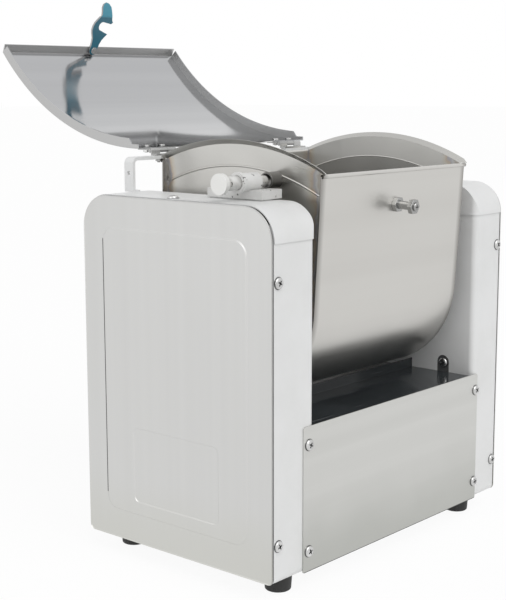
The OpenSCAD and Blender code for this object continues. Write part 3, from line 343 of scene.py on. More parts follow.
def merge_and_turn():
    """Merges the doubles of an open piece and turns all its faces the same way."""
    bpy.ops.mesh.select_all(action="SELECT")
    bpy.ops.mesh.remove_doubles(threshold=hair)
    bpy.ops.mesh.normals_make_consistent(inside=False)


def face_out(piece, face, outward):
    """Turns a shell over if one of its faces looks against the outward direction."""
    if face.normal.dot(outward) < 0:
        edit(piece, "SELECT")
        bpy.ops.mesh.flip_normals()
        close()


def broadest(piece):
    """The largest face of a piece."""
    return max(piece.data.polygons, key=lambda face: face.area)


def apply_modifier(piece, kind, **settings):
    """Adds a modifier with its settings and applies it."""
    alone(piece)
    change = piece.modifiers.new(kind.lower(), kind)
    for key, value in settings.items():
        setattr(change, key, value)
    bpy.ops.object.modifier_apply(modifier=change.name)


def cut_away(piece, tool):
    """Cuts a tool's shape out of a piece and removes the tool."""
    apply_modifier(piece, "BOOLEAN", object=tool, operation="DIFFERENCE")
    bpy.data.objects.remove(tool)


def join_into(piece, parts):
    """Joins parts into a piece."""
    alone(piece)
    for part in parts:
        part.select_set(True)
    if parts:
        bpy.ops.object.join()


def settle(piece, name, body, slot, finish, *replaced, smooth=35):
    """Fixes a piece in place: its name, finish (None keeps its own), body and
    the nodes that it stands for; the slot is not used."""
    piece.name = name
    set_down(piece)
    bpy.ops.object.shade_smooth_by_angle(angle=radians(smooth))
    apply_modifier(piece, "WEIGHTED_NORMAL", keep_sharp=True)
    if finish:
        piece.data.materials.clear()
        piece.data.materials.append(finish)
    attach(piece, body)
    if replaced:
        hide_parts(*replaced)
    return piece


def face_finish(piece, finish, test):
    """Adds a finish to a piece and gives it to the faces that pass a test."""
    piece.data.materials.append(finish)
    edit(piece)
    pick(piece, "faces", test)
    piece.active_material_index = len(piece.data.materials) - 1
    bpy.ops.object.material_slot_assign()
    close()


def copy_of(piece, name):
    """A second piece with its own mesh."""
    twin = piece.copy()
    twin.data = piece.data.copy()
    twin.name = name
    bpy.context.scene.collection.objects.link(twin)
    return twin


def rounded_field(y0, y1, z0, z1, top_corner, low_corner):
    """A flat plate across X with four rounded corners of 13 points each."""
    plate = started(bpy.ops.mesh.primitive_plane_add, size=1, rotation=(0, -pi / 2, 0))
    plate.location = (0, (y0 + y1) / 2, (z0 + z1) / 2)
    plate.scale = (1, y1 - y0, z1 - z0)
    set_down(plate)
    for height, radius in ((z1, top_corner), (z0, low_corner)):
        ends = (Vector((0, y0, height)), Vector((0, y1, height)))
        edit(plate)
        pick(plate, "verts", lambda co: any((co - end).length < hair for end in ends))
        bpy.ops.mesh.bevel(offset=radius, offset_type="OFFSET", segments=12, affect="VERTICES")
        close()
    return plate


half_wide = 236
housing_deep, housing_high, cover_gap, skirt, field_lift = 0.304, 0.42, 0.0006, 0.0049, 0.0008
cover_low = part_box("cover_left")[0]
front = cover_low.y - cover_gap
ground = cover_low.z + skirt
cover_x = cover_low.x + field_lift


def at(across, back, up):
    """A place from the machine's own measures in mm: across from its middle, back from the
    front of the housings, and up from the underside of the base."""
    return Vector((cover_x + (half_wide + across) / 1000, front + back / 1000, ground + up / 1000))


face_y = (front + cover_gap, front + housing_deep - cover_gap)
face_z = (ground - skirt, ground + housing_high - cover_gap)
field_y = (front + 0.037, front + 0.270)
field_z = (ground + 0.031, ground + 0.382)
window_y = (front + 0.081, front + 0.222)
window_z = (ground + 0.047, ground + 0.142)
top_corner, low_corner, field_corner, window_corner = 0.0394, 0.0074, 0.019, 0.009
lip_inset, lip_back, lip_deep = 0.0025, 0.0012, 0.0168
cover_sheet, cover_edge = 0.0009, 0.0006
cover = rounded_field(*face_y, *face_z, top_corner, low_corner)
lip = rounded_field(
    face_y[0] + lip_inset,
    face_y[1] - lip_inset,
    face_z[0] + lip_inset,
    face_z[1] - lip_inset,
    top_corner - lip_inset,
    low_corner - lip_inset,
)
lip.location.x = lip_back
field = rounded_field(*field_y, *field_z, field_corner, field_corner)
window = rounded_field(*window_y, *window_z, window_corner, window_corner)
window.location.x = -field_lift
step_widths = (0.0005, 0.0004, 0.0008, 0.0004, 0.0005)
field_steps = (0.0, 0.0001, 0.0006, 0.0001, 0.0)
window_steps = (0.0, -0.0001, -0.0005, -0.0001, 0.0)
for plate, steps in ((field, field_steps), (window, window_steps)):
    edit(plate, "SELECT")
    for lift, width in zip(steps, step_widths):
        bpy.ops.mesh.inset(thickness=width, depth=lift)
    close()
cover_middle, middle_reach = at(-half_wide, 153.5, 206.5), 0.03


def at_middle(co, normal):
    """Whether a face's middle is near the middle of the cover."""
    return max(abs(co.y - cover_middle.y), abs(co.z - cover_middle.z)) < middle_reach


def outside_field(co, margin):
    """Whether a point is off the large raised field by more than a margin."""
    along = field_y[0] - margin < co.y < field_y[1] + margin
    return not (along and field_z[0] - margin < co.z < field_z[1] + margin)


def loose(edge):
    """Whether an edge has one face or none."""
    return edge.is_boundary or edge.is_wire


def sharp(edge):
    """Whether the two faces of an edge turn by more than 60 degrees."""
    faces = edge.link_faces
    return len(faces) == 2 and faces[0].normal.dot(faces[1].normal) < 0.5


for plate in (cover, lip, field):
    edit(plate)
    pick(plate, "faces", at_middle)
    bpy.ops.mesh.delete(type="ONLY_FACE")
    close()
for plate in (lip, window):
    set_down(plate)
join_into(cover, [lip, field, window])
edit(cover)
pick(cover, "edges", lambda co, e: loose(e) and outside_field(co, 0.005))
bpy.ops.mesh.bridge_edge_loops()
for depth in (0, -field_lift):
    pick(cover, "edges", lambda co, e: loose(e) and abs(co.x - depth) < 10 * hair)
    bpy.ops.mesh.bridge_edge_loops()
pick(cover, "edges", lambda co, e: loose(e) and abs(co.x - lip_back) < 10 * hair)
draw_out(lip_deep, 0, 0)
merge_and_turn()
pick(cover, "edges", lambda co, e: abs(co.x) < hair and outside_field(co, 0.02) and sharp(e))
bpy.ops.mesh.bevel(offset=cover_edge, segments=3, affect="EDGES")
close()
face_out(cover, broadest(cover), Vector((-1, 0, 0)))
apply_modifier(cover, "SOLIDIFY", thickness=cover_sheet, offset=-1)
cover.location.x = cover_x
twin = copy_of(cover, "cover_twin")
twin.scale.x = -1
twin.location.x = at(half_wide, 0, 0).x


def cover_finish(name):
    """Stainless sheet with an upright grain, with painted shade darkening it towards the bottom."""
    finish = steel_finish(name, (0.638, 0.638, 0.628), (0.62, 0.62, 0.61), 0.26, 0.08, (900, 900, 6))
    darkened_below(finish, (0.6, 0.6, 0.57), ground, ground + 0.09)
    return finish


cover_steel = cover_finish("cover_steel")
# Painted shade: a dark line along the crease at the rear of the large field.
crease_y, crease_width = field_y[1] - 0.0012, 0.0011
crease_low, crease_high = field_z[0] + 0.02, field_z[1] - 0.015
painted_crease_shade(cover_steel, crease_y, crease_width, crease_low, crease_high)
# Painted shadow: the left cover darkens from its rounded edge into the turned-in lip, for the gap round it.
seam_shadow_start, seam_shadow_full = 0.2358, 0.2356
painted_shade_across(cover_steel, "X", at(0, 0, 0).x, seam_shadow_start, seam_shadow_full, (0.03, 0.03, 0.03))
gap_shade = painted_finish("gap_shade", (0.015, 0.015, 0.015), (0.03, 0.03, 0.03), 0.7, 0.1)
settle(cover, "side_cover_left", "frame", "stainless_brushed", cover_steel, "cover_left")
# The lip's faces are painted near-black as the shadow in the gap behind the cover.
face_finish(cover, gap_shade, lambda co, normal: co.x > cover_x + lip_back - 5 * hair)
set_down(twin)
edit(twin, "SELECT")
bpy.ops.mesh.normals_make_consistent(inside=False)
close()
bezel_hole, punch_long = 0.0096, 0.02
for height in (330, 285):
    punch = started(bpy.ops.mesh.primitive_cylinder_add, vertices=48, radius=bezel_hole, depth=punch_long,
                    location=at(half_wide, 120, height), rotation=(0, pi / 2, 0))
    cut_away(twin, punch)
clear_steel = cover_finish("clear_steel")
settle(twin, "side_cover_right", "frame", "stainless_brushed", clear_steel, "cover_right")

# Pan-head cross-recess screws of plated steel hold the covers, the panels and the
# plates, each over a dark ring that is painted shadow round its head. One is turned
# with a domed head and a tapered cross, its recess painted dark as shade, and copied to every place.
def dome(*steps):
    """Raises the picked face in steps, each a rise and a share of its width."""
    for rise, share in steps:
        draw_out(0, 0, rise)
        resize(share, share, 1)


head_r, head_edge, shank_inset, shank_long = 0.0065, 0.0012, 0.0036, 0.004
pan_screw = started(bpy.ops.mesh.primitive_cylinder_add, vertices=40, radius=head_r, depth=head_edge,
                    location=(0, 0, head_edge / 2))
edit(pan_screw)
pick(pan_screw, "faces", lambda co, normal: normal.z > 0.9)
dome((0.0007, 0.955), (0.0006, 0.9), (0.0004, 0.8), (0.00025, 0.62))
pick(pan_screw, "faces", lambda co, normal: normal.z < -0.9)
bpy.ops.mesh.inset(thickness=shank_inset)
draw_out(0, 0, -shank_long)
close()
bit_size, bit_up = (0.0082, 0.0021, 0.0026), 0.0027
for spin in (0, pi / 2):
    driver_bit = started(bpy.ops.mesh.primitive_cube_add, size=1, location=(0, 0, bit_up), scale=bit_size,
                         rotation=(0, 0, spin))
    edit(driver_bit)
    pick(driver_bit, "faces", lambda co, normal: normal.z < -0.9)
    resize(0.5, 0.6, 1)
    close()
    cut_away(pan_screw, driver_bit)
# Painted shadow: a thin dark disc under each head stands for the shadow round it.
shadow_ring_r, shadow_ring_thick, shadow_ring_sunk, shadow_ring_edge = 0.0072, 0.0012, 0.0002, 0.0002
shadow_ring = started(bpy.ops.mesh.primitive_cylinder_add, vertices=40, radius=shadow_ring_r, depth=shadow_ring_thick,
                 location=(0, 0, -shadow_ring_sunk))
edit(shadow_ring)
pick(shadow_ring, "faces", lambda co, normal: abs(normal.z) > 0.9)
bpy.ops.mesh.bevel(offset=shadow_ring_edge, segments=2, affect="EDGES")
close()
screw_steel = steel_finish("screw_steel", (0.68, 0.68, 0.675), (0.5, 0.5, 0.495), 0.16, 0.05, (700, 700, 700))
painted_shade_steel = steel_finish("painted_shade_steel", (0.16, 0.16, 0.16), (0.08, 0.08, 0.08), 0.35, 0.06, (500, 500, 500))
shadow_ring.data.materials.append(painted_shade_steel)
pan_screw.data.materials.append(screw_steel)
# Painted shade: the faces in the cross recess take the dark steel.
recess_low, recess_high, recess_r = 0.0013, 0.0028, 0.0038


def in_recess(co, normal):
    """Whether a face is in the cross of the head."""
    return recess_low < co.z < recess_high and hypot(co.x, co.y) < recess_r


face_finish(pan_screw, painted_shade_steel, in_recess)
join_into(pan_screw, [shadow_ring])


def fitted(model, places, first=25, step=37):
    """Copies of a model joined into one piece, each stood on a place along a direction
    and turned by a first angle and a step for each one before it."""
    made = []
    for number, (spot, way) in enumerate(places):
        one = copy_of(model, "fitted_copy")
        stand = Vector(way).to_track_quat("Z", "Y").to_matrix().to_4x4()
        spin = Matrix.Rotation(radians(first + step * number), 4, "Z")
        one.data.transform(Matrix.Translation(spot) @ stand @ spin)
        made.append(one)
    join_into(made[0], made[1:])
    return made[0]


ahead, behind, over = (0, -1, 0), (0, 1, 0), (0, 0, 1)
rightward, leftward = (1, 0, 0), (-1, 0, 0)


def front_and_rear(columns, rows, front_back, rear_back):
    """Seats in columns and rows on the front and then on the rear."""
    faces = ((front_back, ahead), (rear_back, behind))
    return [(at(x, y, z), way) for y, way in faces for x in columns for z in rows]


seats = front_and_rear((-226, 228.2), (40, 337), 1.4, 303.4)
seats += [(at(x, 163, 420), over) for x in (-222, 222)]
settle(fitted(pan_screw, seats), "cover_screw_set", "frame", "screw_steel", None, "cover_screws")
seats = front_and_rear((-173.25, 180.75), (20, 146), -0.1, 304.1)
seats += [(at(-164.1, 48.5, 177.5), rightward), (at(177.1, 48.5, 177.5), leftward)]
settle(fitted(pan_screw, seats), "panel_screw_set", "frame", "screw_steel", None, "panel_screws")
dress(screw_steel, "foot_bolts")
bpy.data.objects.remove(pan_screw)

# The front panel is one flat sheet of the covers' steel with the grain along it,
# its corners rounded off; the rear one is painted and carries rows of louvres.
panel_left, panel_right = at(-183.25, 0, 0).x, at(185.75, 0, 0).x
panel_low, panel_high, panel_top_corner, panel_low_corner = ground - 0.0045, ground + 0.168, 0.004, 0.0025
panel_sheet, panel_proud, panel_edge = 0.0015, 0.0001, 0.0003
panel = rounded_field(-panel_right, -panel_left, panel_low, panel_high, panel_top_corner, panel_low_corner)
panel.rotation_euler.z = pi / 2
set_down(panel)
apply_modifier(panel, "SOLIDIFY", thickness=panel_sheet, offset=-1)
panel.location.y = front - panel_proud
apply_modifier(panel, "BEVEL", width=panel_edge, segments=2, limit_method="ANGLE")
panel_steel = steel_finish("panel_steel", (0.62, 0.62, 0.6), (0.585, 0.585, 0.565), 0.25, 0.08, (5, 900, 900))
# Painted shade: the lower part of the panel is darkened towards the floor that it reflects.
darkened_below(panel_steel, (0.47, 0.475, 0.45), ground - 0.01, ground + 0.1)
# Painted shade: the bottom edge of the panel is painted near-black.
shade_middle, shade_start, shade_full = ground + 0.1, 0.1034, 0.1038
painted_shade_across(panel_steel, "Z", shade_middle, shade_start, shade_full, (0.05, 0.05, 0.05))
settle(panel, "front_sheet", "frame", "stainless_brushed", panel_steel, "front_panel")
dress(white_paint, "rear_panel")
hood_r, hood_long, hood_sheet, hood_lap = 0.0042, 0.032, 0.0009, 0.0005
hood = started(bpy.ops.mesh.primitive_cylinder_add, vertices=24, radius=hood_r, depth=hood_long,
               rotation=(0, pi / 2, 0))
edit(hood, "SELECT")
bpy.ops.mesh.bisect(plane_co=(0, 0, 0), plane_no=(0, 1, 0), clear_inner=True)
bpy.ops.mesh.select_all(action="SELECT")
bpy.ops.mesh.bisect(plane_co=(0, 0, -hood_lap), plane_no=(0, 0, 1), clear_inner=True)
pick(hood, "verts", lambda co: abs(co.x) > hood_long / 2 - 0.001)
resize(1, 0.25, 0.6)
close()
apply_modifier(hood, "SOLIDIFY", thickness=hood_sheet, offset=-1)
columns, rows, pitch, rise, lowest = (-2.5, -1.5, -0.5, 0.5, 1.5, 2.5), range(6), 42, 12, 54
louvres = [(at(pitch * i, 304.1, lowest + rise * k), over) for i in columns for k in rows]
settle(fitted(hood, louvres, first=180, step=0), "louvre_hoods", "frame", "white_paint", white_paint)
bpy.data.objects.remove(hood)

# The tray between the housings is a glossy near-black sheet with an upright lip,
# scuffed where the tub is wiped down.
def worked(name, soft, segments=2):
    """A copy of a node's mesh, merged and eased at its sharp edges."""
    piece = copy_of(nodes[name], "worked_copy")
    piece.parent = None
    piece.matrix_world = Matrix.Identity(4)
    for key in list(piece.keys()):
        del piece[key]
    edit(piece, "SELECT")
    bpy.ops.mesh.remove_doubles(threshold=hair / 2)
    bpy.ops.mesh.dissolve_limited(angle_limit=radians(0.8))
    close()
    piece.data.materials.clear()
    apply_modifier(piece, "BEVEL", width=soft, segments=segments, limit_method="ANGLE",
                   angle_limit=radians(30), use_clamp_overlap=True)
    return piece


def eased(node, name, body, slot, finish, soft, segments=2, smooth=35):
    """A node's own shape, eased at its edges and settled in its place."""
    return settle(worked(node, soft, segments), name, body, slot, finish, node, smooth=smooth)


def scuffed_finish(name, colour, scratch, roughness):
    """A gloss coat with fine pale scratches running across it."""
    finish = painted_finish(name, colour, [c * 1.5 for c in colour], roughness, 0.03)
    tree = finish.node_tree
    place = add_node(tree, "ShaderNodeTexCoord")
    turn = add_node(tree, "ShaderNodeMapping", Scale=(14, 260, 420), Rotation=(0, 0.5, 0.35))
    lines = add_node(tree, "ShaderNodeTexNoise", Scale=1.0, Detail=2.0, Distortion=0.4)
    few = add_node(tree, "ShaderNodeMapRange", From_Min=0.66, From_Max=0.78)
    wire(
        tree,
        (place, "Object", turn, "Vector"),
        (turn, "Vector", lines, "Vector"),
        (lines, "Fac", few, "Value"),
    )
    over_base(finish, few.outputs["Result"], scratch)
    return finish


tray_black = scuffed_finish("tray_black", (0.03, 0.034, 0.037), (0.14, 0.15, 0.155), 0.12)
eased("base_tray", "black_tray", "frame", "tray_black", tray_black, 0.0005)

# Four moulded rubber feet, tapered to a rounded bottom edge, with a bolt through
# each into the housing's floor.
foot_r, foot_high, foot_taper, foot_edge = 0.017, 0.0239, 0.9, 0.0022
rim_width, rim_deep, bolt_inset, bolt_deep = 0.005, 0.003, 0.0128, 0.014
foot = started(bpy.ops.mesh.primitive_cylinder_add, vertices=48, radius=foot_r, depth=foot_high,
               location=(0, 0, foot_high / 2))
edit(foot)
pick(foot, "faces", lambda co, normal: normal.z < -0.9)
resize(foot_taper, foot_taper, 1)
bpy.ops.mesh.bevel(offset=foot_edge, segments=4, affect="EDGES")
pick(foot, "faces", lambda co, normal: normal.z < -0.99 and co.z < 10 * hair)
bpy.ops.mesh.inset(thickness=rim_width)
draw_out(0, 0, rim_deep)
pick(foot, "faces", lambda co, normal: normal.z > 0.9 and co.z > 0.02)
bpy.ops.mesh.inset(thickness=bolt_inset)
draw_out(0, 0, -bolt_deep)
close()
foot_rubber = painted_finish("foot_rubber", (0.012, 0.012, 0.012), (0.026, 0.026, 0.025), 0.55, 0.3)
stands = [(Vector((*at(x, y, 0).xy, 0)), over) for x in (-190, 190) for y in (32, 272)]
settle(fitted(foot, stands), "rubber_feet", "frame", "foot_rubber", foot_rubber, "feet")
bpy.data.objects.remove(foot)

# The tub's wall is one stainless sheet wrapped under the round bottom, flared a
# little and rolled over at its top edges. It leans forward 2.2 degrees at rest.
tub_r, tub_long, wall_high, wall_sides = 0.122, 0.295, 0.155, 128
wall_sheet, wall_edge = 0.002, 0.0004
flare = pi / wall_sides
lean = Matrix.Translation(at(2.5, 138, 297)) @ Matrix.Rotation(radians(2.2), 4, "X")
tub = started(bpy.ops.mesh.primitive_cylinder_add, vertices=wall_sides, radius=tub_r, depth=tub_long,
              end_fill_type="NOTHING")
tub.data.transform(Matrix.Rotation(pi / 2, 4, "Y") @ Matrix.Rotation(flare, 4, "Z"))
edit(tub)
pick(tub, "faces", lambda co, normal: co.z > -0.002)
bpy.ops.mesh.delete(type="FACE")
rise = wall_high + tub_r * sin(flare)
spread = rise * tan(flare)
for side in (-1, 1):
    pick(tub, "edges", lambda co, e: e.is_boundary and abs(co.x) < 0.1 and co.y * side > 0.1)
    draw_out(0, side * spread, rise)
merge_and_turn()
close()
face_out(tub, min(tub.data.polygons, key=lambda face: face.center.z), Vector((0, 0, -1)))
apply_modifier(tub, "SOLIDIFY", thickness=wall_sheet, offset=-1)
apply_modifier(tub, "BEVEL", width=wall_edge, segments=2, limit_method="ANGLE", angle_limit=radians(50))
hem_r, hem_out, hem_inset = 0.0024, 0.0006, 0.0009
hem_y = tub_r * cos(flare) + spread + hem_out
hems = []
for side in (-1, 1):
    hem = started(bpy.ops.mesh.primitive_cylinder_add, vertices=24, radius=hem_r, depth=tub_long,
                  rotation=(0, pi / 2, 0), location=(0, side * hem_y, wall_high))
    edit(hem)
    pick(hem, "faces", lambda co, normal: abs(normal.x) > 0.9)
    bpy.ops.mesh.inset(thickness=hem_inset, use_individual=True)
    resize(0.97, 1, 1)
    close()
    hems.append(hem)
join_into(tub, hems)
tub.data.transform(lean)
tub_steel = steel_finish("tub_steel", (0.61, 0.60, 0.575), (0.585, 0.575, 0.55), 0.26, 0.06, (6, 500, 500))
# Painted shade: the wall darkens near both of its ends, for the darker reflection there.
shade_start, shade_full = 0.138, 0.1475
painted_shade_across(tub_steel, "X", at(2.5, 0, 0).x, shade_start, shade_full, (0.3, 0.29, 0.275))
settle(tub, "tub_wall", "tub", "tub_stainless", tub_steel, "tub_shell")

# An end plate stands a little inside each end of the wall, welded all round, with
# its top folded outward into a band that carries the curved rim. The welding heat
# leaves its colours near the corners, and a bead marks the fold.
heat_effect, heat_in, heat_out = shared_effect(
    "weld_heat",
    [
        ("Position", "NodeSocketVector", None),
        ("Colour", "NodeSocketColor", None),
        ("Strength", "NodeSocketFloat", 1.0),
    ],
    [("Colour", "NodeSocketColor")],
)
corner_middle, corner_half, waviness = at(0, 137, 0).y, 0.1245, 0.03
heat_start, heat_end = corner_half - 0.006, corner_half + 0.014
heat_split = add_node(heat_effect, "ShaderNodeSeparateXYZ")
heat_cloud = add_node(heat_effect, "ShaderNodeTexNoise", Scale=45.0, Detail=3.0)
from_middle = maths(heat_effect, "SUBTRACT", corner_middle)
off_middle = maths(heat_effect, "ABSOLUTE")
wavy = maths(heat_effect, "MULTIPLY_ADD", waviness)
reach = add_node(heat_effect, "ShaderNodeMapRange", From_Min=heat_start, From_Max=heat_end)
band = add_node(heat_effect, "ShaderNodeValToRGB")
stops = band.color_ramp.elements
stops[0].position, stops[0].color = 0.0, (1, 1, 1, 1)
stops[1].position, stops[1].color = 1.0, (0.62, 0.56, 0.5, 1)
straw, brown = (0.98, 0.9, 0.78, 1), (0.86, 0.66, 0.48, 1)
blue, grey = (0.6, 0.6, 0.74, 1), (0.88, 0.9, 0.94, 1)
for spot, colour in ((0.3, straw), (0.5, brown), (0.64, blue), (0.8, grey)):
    stop = stops.new(spot)
    stop.color = colour
tinted = add_node(heat_effect, "ShaderNodeMix", data_type="RGBA", blend_type="MULTIPLY")
wire(
    heat_effect,
    (heat_in, "Position", heat_split, "Vector"),
    (heat_in, "Position", heat_cloud, "Vector"),
    (heat_split, "Y", from_middle, 0),
    (from_middle, "Value", off_middle, 0),
    (heat_cloud, "Fac", wavy, 0),
    (off_middle, "Value", wavy, 2),
    (wavy, "Value", reach, "Value"),
    (reach, "Result", band, "Fac"),
    (heat_in, "Strength", tinted, "Factor"),
    (heat_in, "Colour", tinted, "A"),
    (band, "Color", tinted, "B"),
    (tinted, "Result", heat_out, "Colour"),
)


def welded_finish(name, bright, deep, roughness, relief_depth, grain_scale):
    """Brushed steel coloured by welding heat near the tub's corners."""
    finish = steel_finish(name, bright, deep, roughness, relief_depth, grain_scale)
    tree, surface, under = colour_so_far(finish)
    place = add_node(tree, "ShaderNodeTexCoord")
    tint = add_node(tree, "ShaderNodeGroup", node_tree=heat_effect, Strength=0.6)
    tree.links.new(under, tint.inputs["Colour"])
    wire(tree, (place, "Object", tint, "Position"), (tint, "Colour", surface, "Base Color"))
    return finish


end_steel = welded_finish("end_steel", (0.60, 0.595, 0.57), (0.57, 0.56, 0.535), 0.24, 0.06, (400, 6, 400))
# Painted shade: the end plates' faces turned into the tub get a darker copy of their steel, with a coarser
# grain.
shaded_inner_steel = welded_finish("shaded_inner_steel", (0.47, 0.465, 0.445), (0.36, 0.355, 0.34), 0.3, 0.06, (60, 14, 60))
bead_r, bead_x, bead_up, fold_drop, fold_half = 0.0016, 0.1384, 0.157, -0.1244, radians(24.4)
for name, inward in (("tub_end_left", 1), ("tub_end_right", -1)):
    plate_name, bead_name = name.replace("tub_end", "end_plate"), name.replace("tub_end", "fold_bead")
    plate = eased(name, plate_name, "tub", "tub_stainless", end_steel, 0.0007, smooth=4)
    face_finish(plate, shaded_inner_steel, lambda co, normal: normal.x * inward > 0.7)
    bead = started(bpy.ops.mesh.primitive_circle_add, vertices=16, radius=bead_r, fill_type="NGON",
                   rotation=(pi / 2, 0, 0), location=(-inward * bead_x, 0, bead_up))
    edit(bead, "SELECT")
    bpy.ops.transform.rotate(value=fold_half, orient_axis="X", center_override=(0, 0, fold_drop))
    bpy.ops.mesh.spin(steps=64, angle=-2 * fold_half, center=(0, 0, fold_drop), axis=(1, 0, 0))
    bpy.ops.mesh.select_all(action="SELECT")
    bpy.ops.mesh.normals_make_consistent(inside=False)
    close()
    bead.data.transform(lean)
    settle(bead, bead_name, "tub", "tub_stainless", end_steel)
rim_steel = steel_finish("rim_steel", (0.50, 0.495, 0.475), (0.44, 0.435, 0.42), 0.22, 0.06, (300, 20, 300))
eased("tub_rims", "curved_rims", "tub", "tub_stainless", rim_steel, 0.0004)

# A threaded stud stands out of the tub's front for the lid's hook, between a nut
# against the wall and an end nut, all of plain turned steel.
leaf_steel = steel_finish("leaf_steel", (0.46, 0.46, 0.455), (0.28, 0.28, 0.275), 0.2, 0.06)
eased("latch_stud", "hook_stud", "tub", "screw_steel", leaf_steel, 0.0003)
eased("stud_nuts", "hook_stud_nuts", "tub", "screw_steel", leaf_steel, 0.0006)

# The lid is one curved sheet, folded inward to a flange at both sides and along
# its free edge. Its inner face is left smooth and nearly mirrors.
def lid_turn(co):
    """The angle of a point back along the lid's curve, in degrees."""
    return degrees(atan2(co.y, -co.z))


lid_r, lid_wide, lid_arc, lid_sheet, lid_edge = 0.342, 0.325, 50, 0.0015, 0.0012
flange, hinge_flange, lid_fold = 0.0125, 0.0055, radians(22.3)
flange_from, hinge_end, flange_to, side_x = 0.3, 2.6, 49.6, 0.162


def on_side(co, side, low, high):
    """Whether a point is on one side edge of the lid, between two angles."""
    return co.x * side > side_x and low < lid_turn(co) < high


lid = started(bpy.ops.mesh.primitive_cylinder_add, vertices=360, radius=lid_r, depth=lid_wide,
              end_fill_type="NOTHING")
lid.data.transform(Matrix.Rotation(pi / 2, 4, "Y"))
edit(lid)
pick(lid, "faces", lambda co, normal: not 0 < lid_turn(co) < lid_arc)
bpy.ops.mesh.delete(type="FACE")
for side in (-1, 1):
    pick(lid, "edges", lambda co, e: e.is_boundary and on_side(co, side, flange_from, flange_to))
    draw_out(0, 0, 0)
    share = (lid_r - flange) / lid_r
    resize(1, share, share)
    pick(lid, "verts", lambda co: hypot(co.y, co.z) < lid_r - 0.01 and on_side(co, side, -1, hinge_end))
    share = (lid_r - hinge_flange) / (lid_r - flange)
    resize(1, share, share)
pick(lid, "edges", lambda co, e: e.is_boundary and lid_turn(co) > lid_arc - 0.01 and abs(co.x) < 0.1)
draw_out(0, -flange * sin(lid_fold), flange * cos(lid_fold))
pick(lid, "edges", lambda co, e: sharp(e))
bpy.ops.mesh.bevel(offset=lid_edge, segments=3, affect="EDGES")
merge_and_turn()
close()
face_out(lid, broadest(lid), broadest(lid).center)
apply_modifier(lid, "SOLIDIFY", thickness=lid_sheet, offset=-1)
lid.data.transform(Matrix.Translation(at(2, 284, 812.5)))
lid_steel = steel_finish(
    "lid_steel", (0.455, 0.46, 0.47), (0.43, 0.435, 0.445), 0.055, 0.015, (5, 700, 700), spread=0.04
)
settle(lid, "curved_lid", "lid", "tub_stainless", lid_steel, "lid_sheet")
flange_steel = steel_finish("flange_steel", (0.55, 0.55, 0.545), (0.44, 0.44, 0.44), 0.32, 0.02, (22, 22, 22))
face_finish(lid, flange_steel, lambda co, normal: abs(normal.x) > 0.6 or normal.y < -0.85 and co.z > 0.55)

# Bent straps on the caps, painted with them, carry the fixed hinge leaves; the
# moving leaves are screwed under the lid, and a pin joins each pair.
eased("hinge_arm_left", "hinge_strap_left", "frame", "white_paint", white_paint, 0.0006)
eased("hinge_arm_right", "hinge_strap_right", "frame", "white_paint", white_paint, 0.0006)
eased("hinge_leaves", "fixed_leaves", "frame", "screw_steel", leaf_steel, 0.0004)
eased("lid_leaves", "moving_leaves", "lid", "screw_steel", leaf_steel, 0.0004)
eased("lid_screws", "leaf_screws", "lid", "screw_steel", screw_steel, 0.0006)

# The hook is cut from 3 mm sheet that still wears its blue film; the cut edges
# are bare. It turns on a screw in the lid's front flange.
hook_film = painted_finish("hook_film", (0.03, 0.165, 0.235), (0.025, 0.14, 0.21), 0.16, 0.05)
# Painted light: the film on the bent tab is a lighter blue, for the light that the tab catches.
lit_tab_film = painted_finish("lit_tab_film", (0.07, 0.31, 0.41), (0.045, 0.24, 0.34), 0.2, 0.08)
bare_edge = steel_finish("bare_edge", (0.42, 0.42, 0.42), (0.34, 0.34, 0.34), 0.3, 0.1)
tab_fold = radians(-1.7)
plate_way = Vector((0, cos(lid_fold), sin(lid_fold)))
tab_way = Vector((0, cos(tab_fold), sin(tab_fold)))


def cut_edge(co, normal):
    """Whether a face is neither on the hook's plate nor on its tab."""
    return abs(normal.dot(plate_way)) < 0.6 and abs(normal.dot(tab_way)) < 0.6


hook = eased("hook", "lid_hook", "hook", "hook_film", hook_film, 0.0004)
face_finish(hook, bare_edge, cut_edge)
face_finish(hook, lit_tab_film, lambda co, normal: abs(normal.dot(tab_way)) > 0.97)
eased("hook_screw", "hook_pivot", "lid", "screw_steel", screw_steel, 0.0005)

# The tilt lock is machined from bar: a sliding pin with a round knob in a barrel
# with a collar, on a white block over a shim, and a bush welded to the tub. The
# paint on the block and the barrel is chipped.
lock_white = painted_finish("lock_white", (0.72, 0.72, 0.71), (0.60, 0.60, 0.585), 0.3, 0.1)
lock_tree = lock_white.node_tree
lock_place = add_node(lock_tree, "ShaderNodeTexCoord")
chips = add_node(lock_tree, "ShaderNodeTexNoise", Scale=230.0, Detail=1.0)
few_chips = add_node(lock_tree, "ShaderNodeMapRange", From_Min=0.7, From_Max=0.72)
wire(lock_tree, (lock_place, "Object", chips, "Vector"), (chips, "Fac", few_chips, "Value"))
over_base(lock_white, few_chips.outputs["Result"], (0.06, 0.06, 0.06))
eased("plunger_base", "lock_block", "frame", "white_paint", lock_white, 0.001)
eased("plunger_housing", "lock_barrel", "frame", "white_paint", lock_white, 0.0008)
knob_steel = steel_finish("knob_steel", (0.76, 0.76, 0.745), (0.7, 0.7, 0.685), 0.3, 0.06)
eased("lock_pin", "lock_plunger", "lock", "gear_steel", knob_steel, 0.0007)
bush_steel = steel_finish("bush_steel", (0.25, 0.245, 0.235), (0.15, 0.147, 0.14), 0.28, 0.1)
eased("lock_bush", "tub_bush", "tub", "gear_steel", bush_steel, 0.0006)

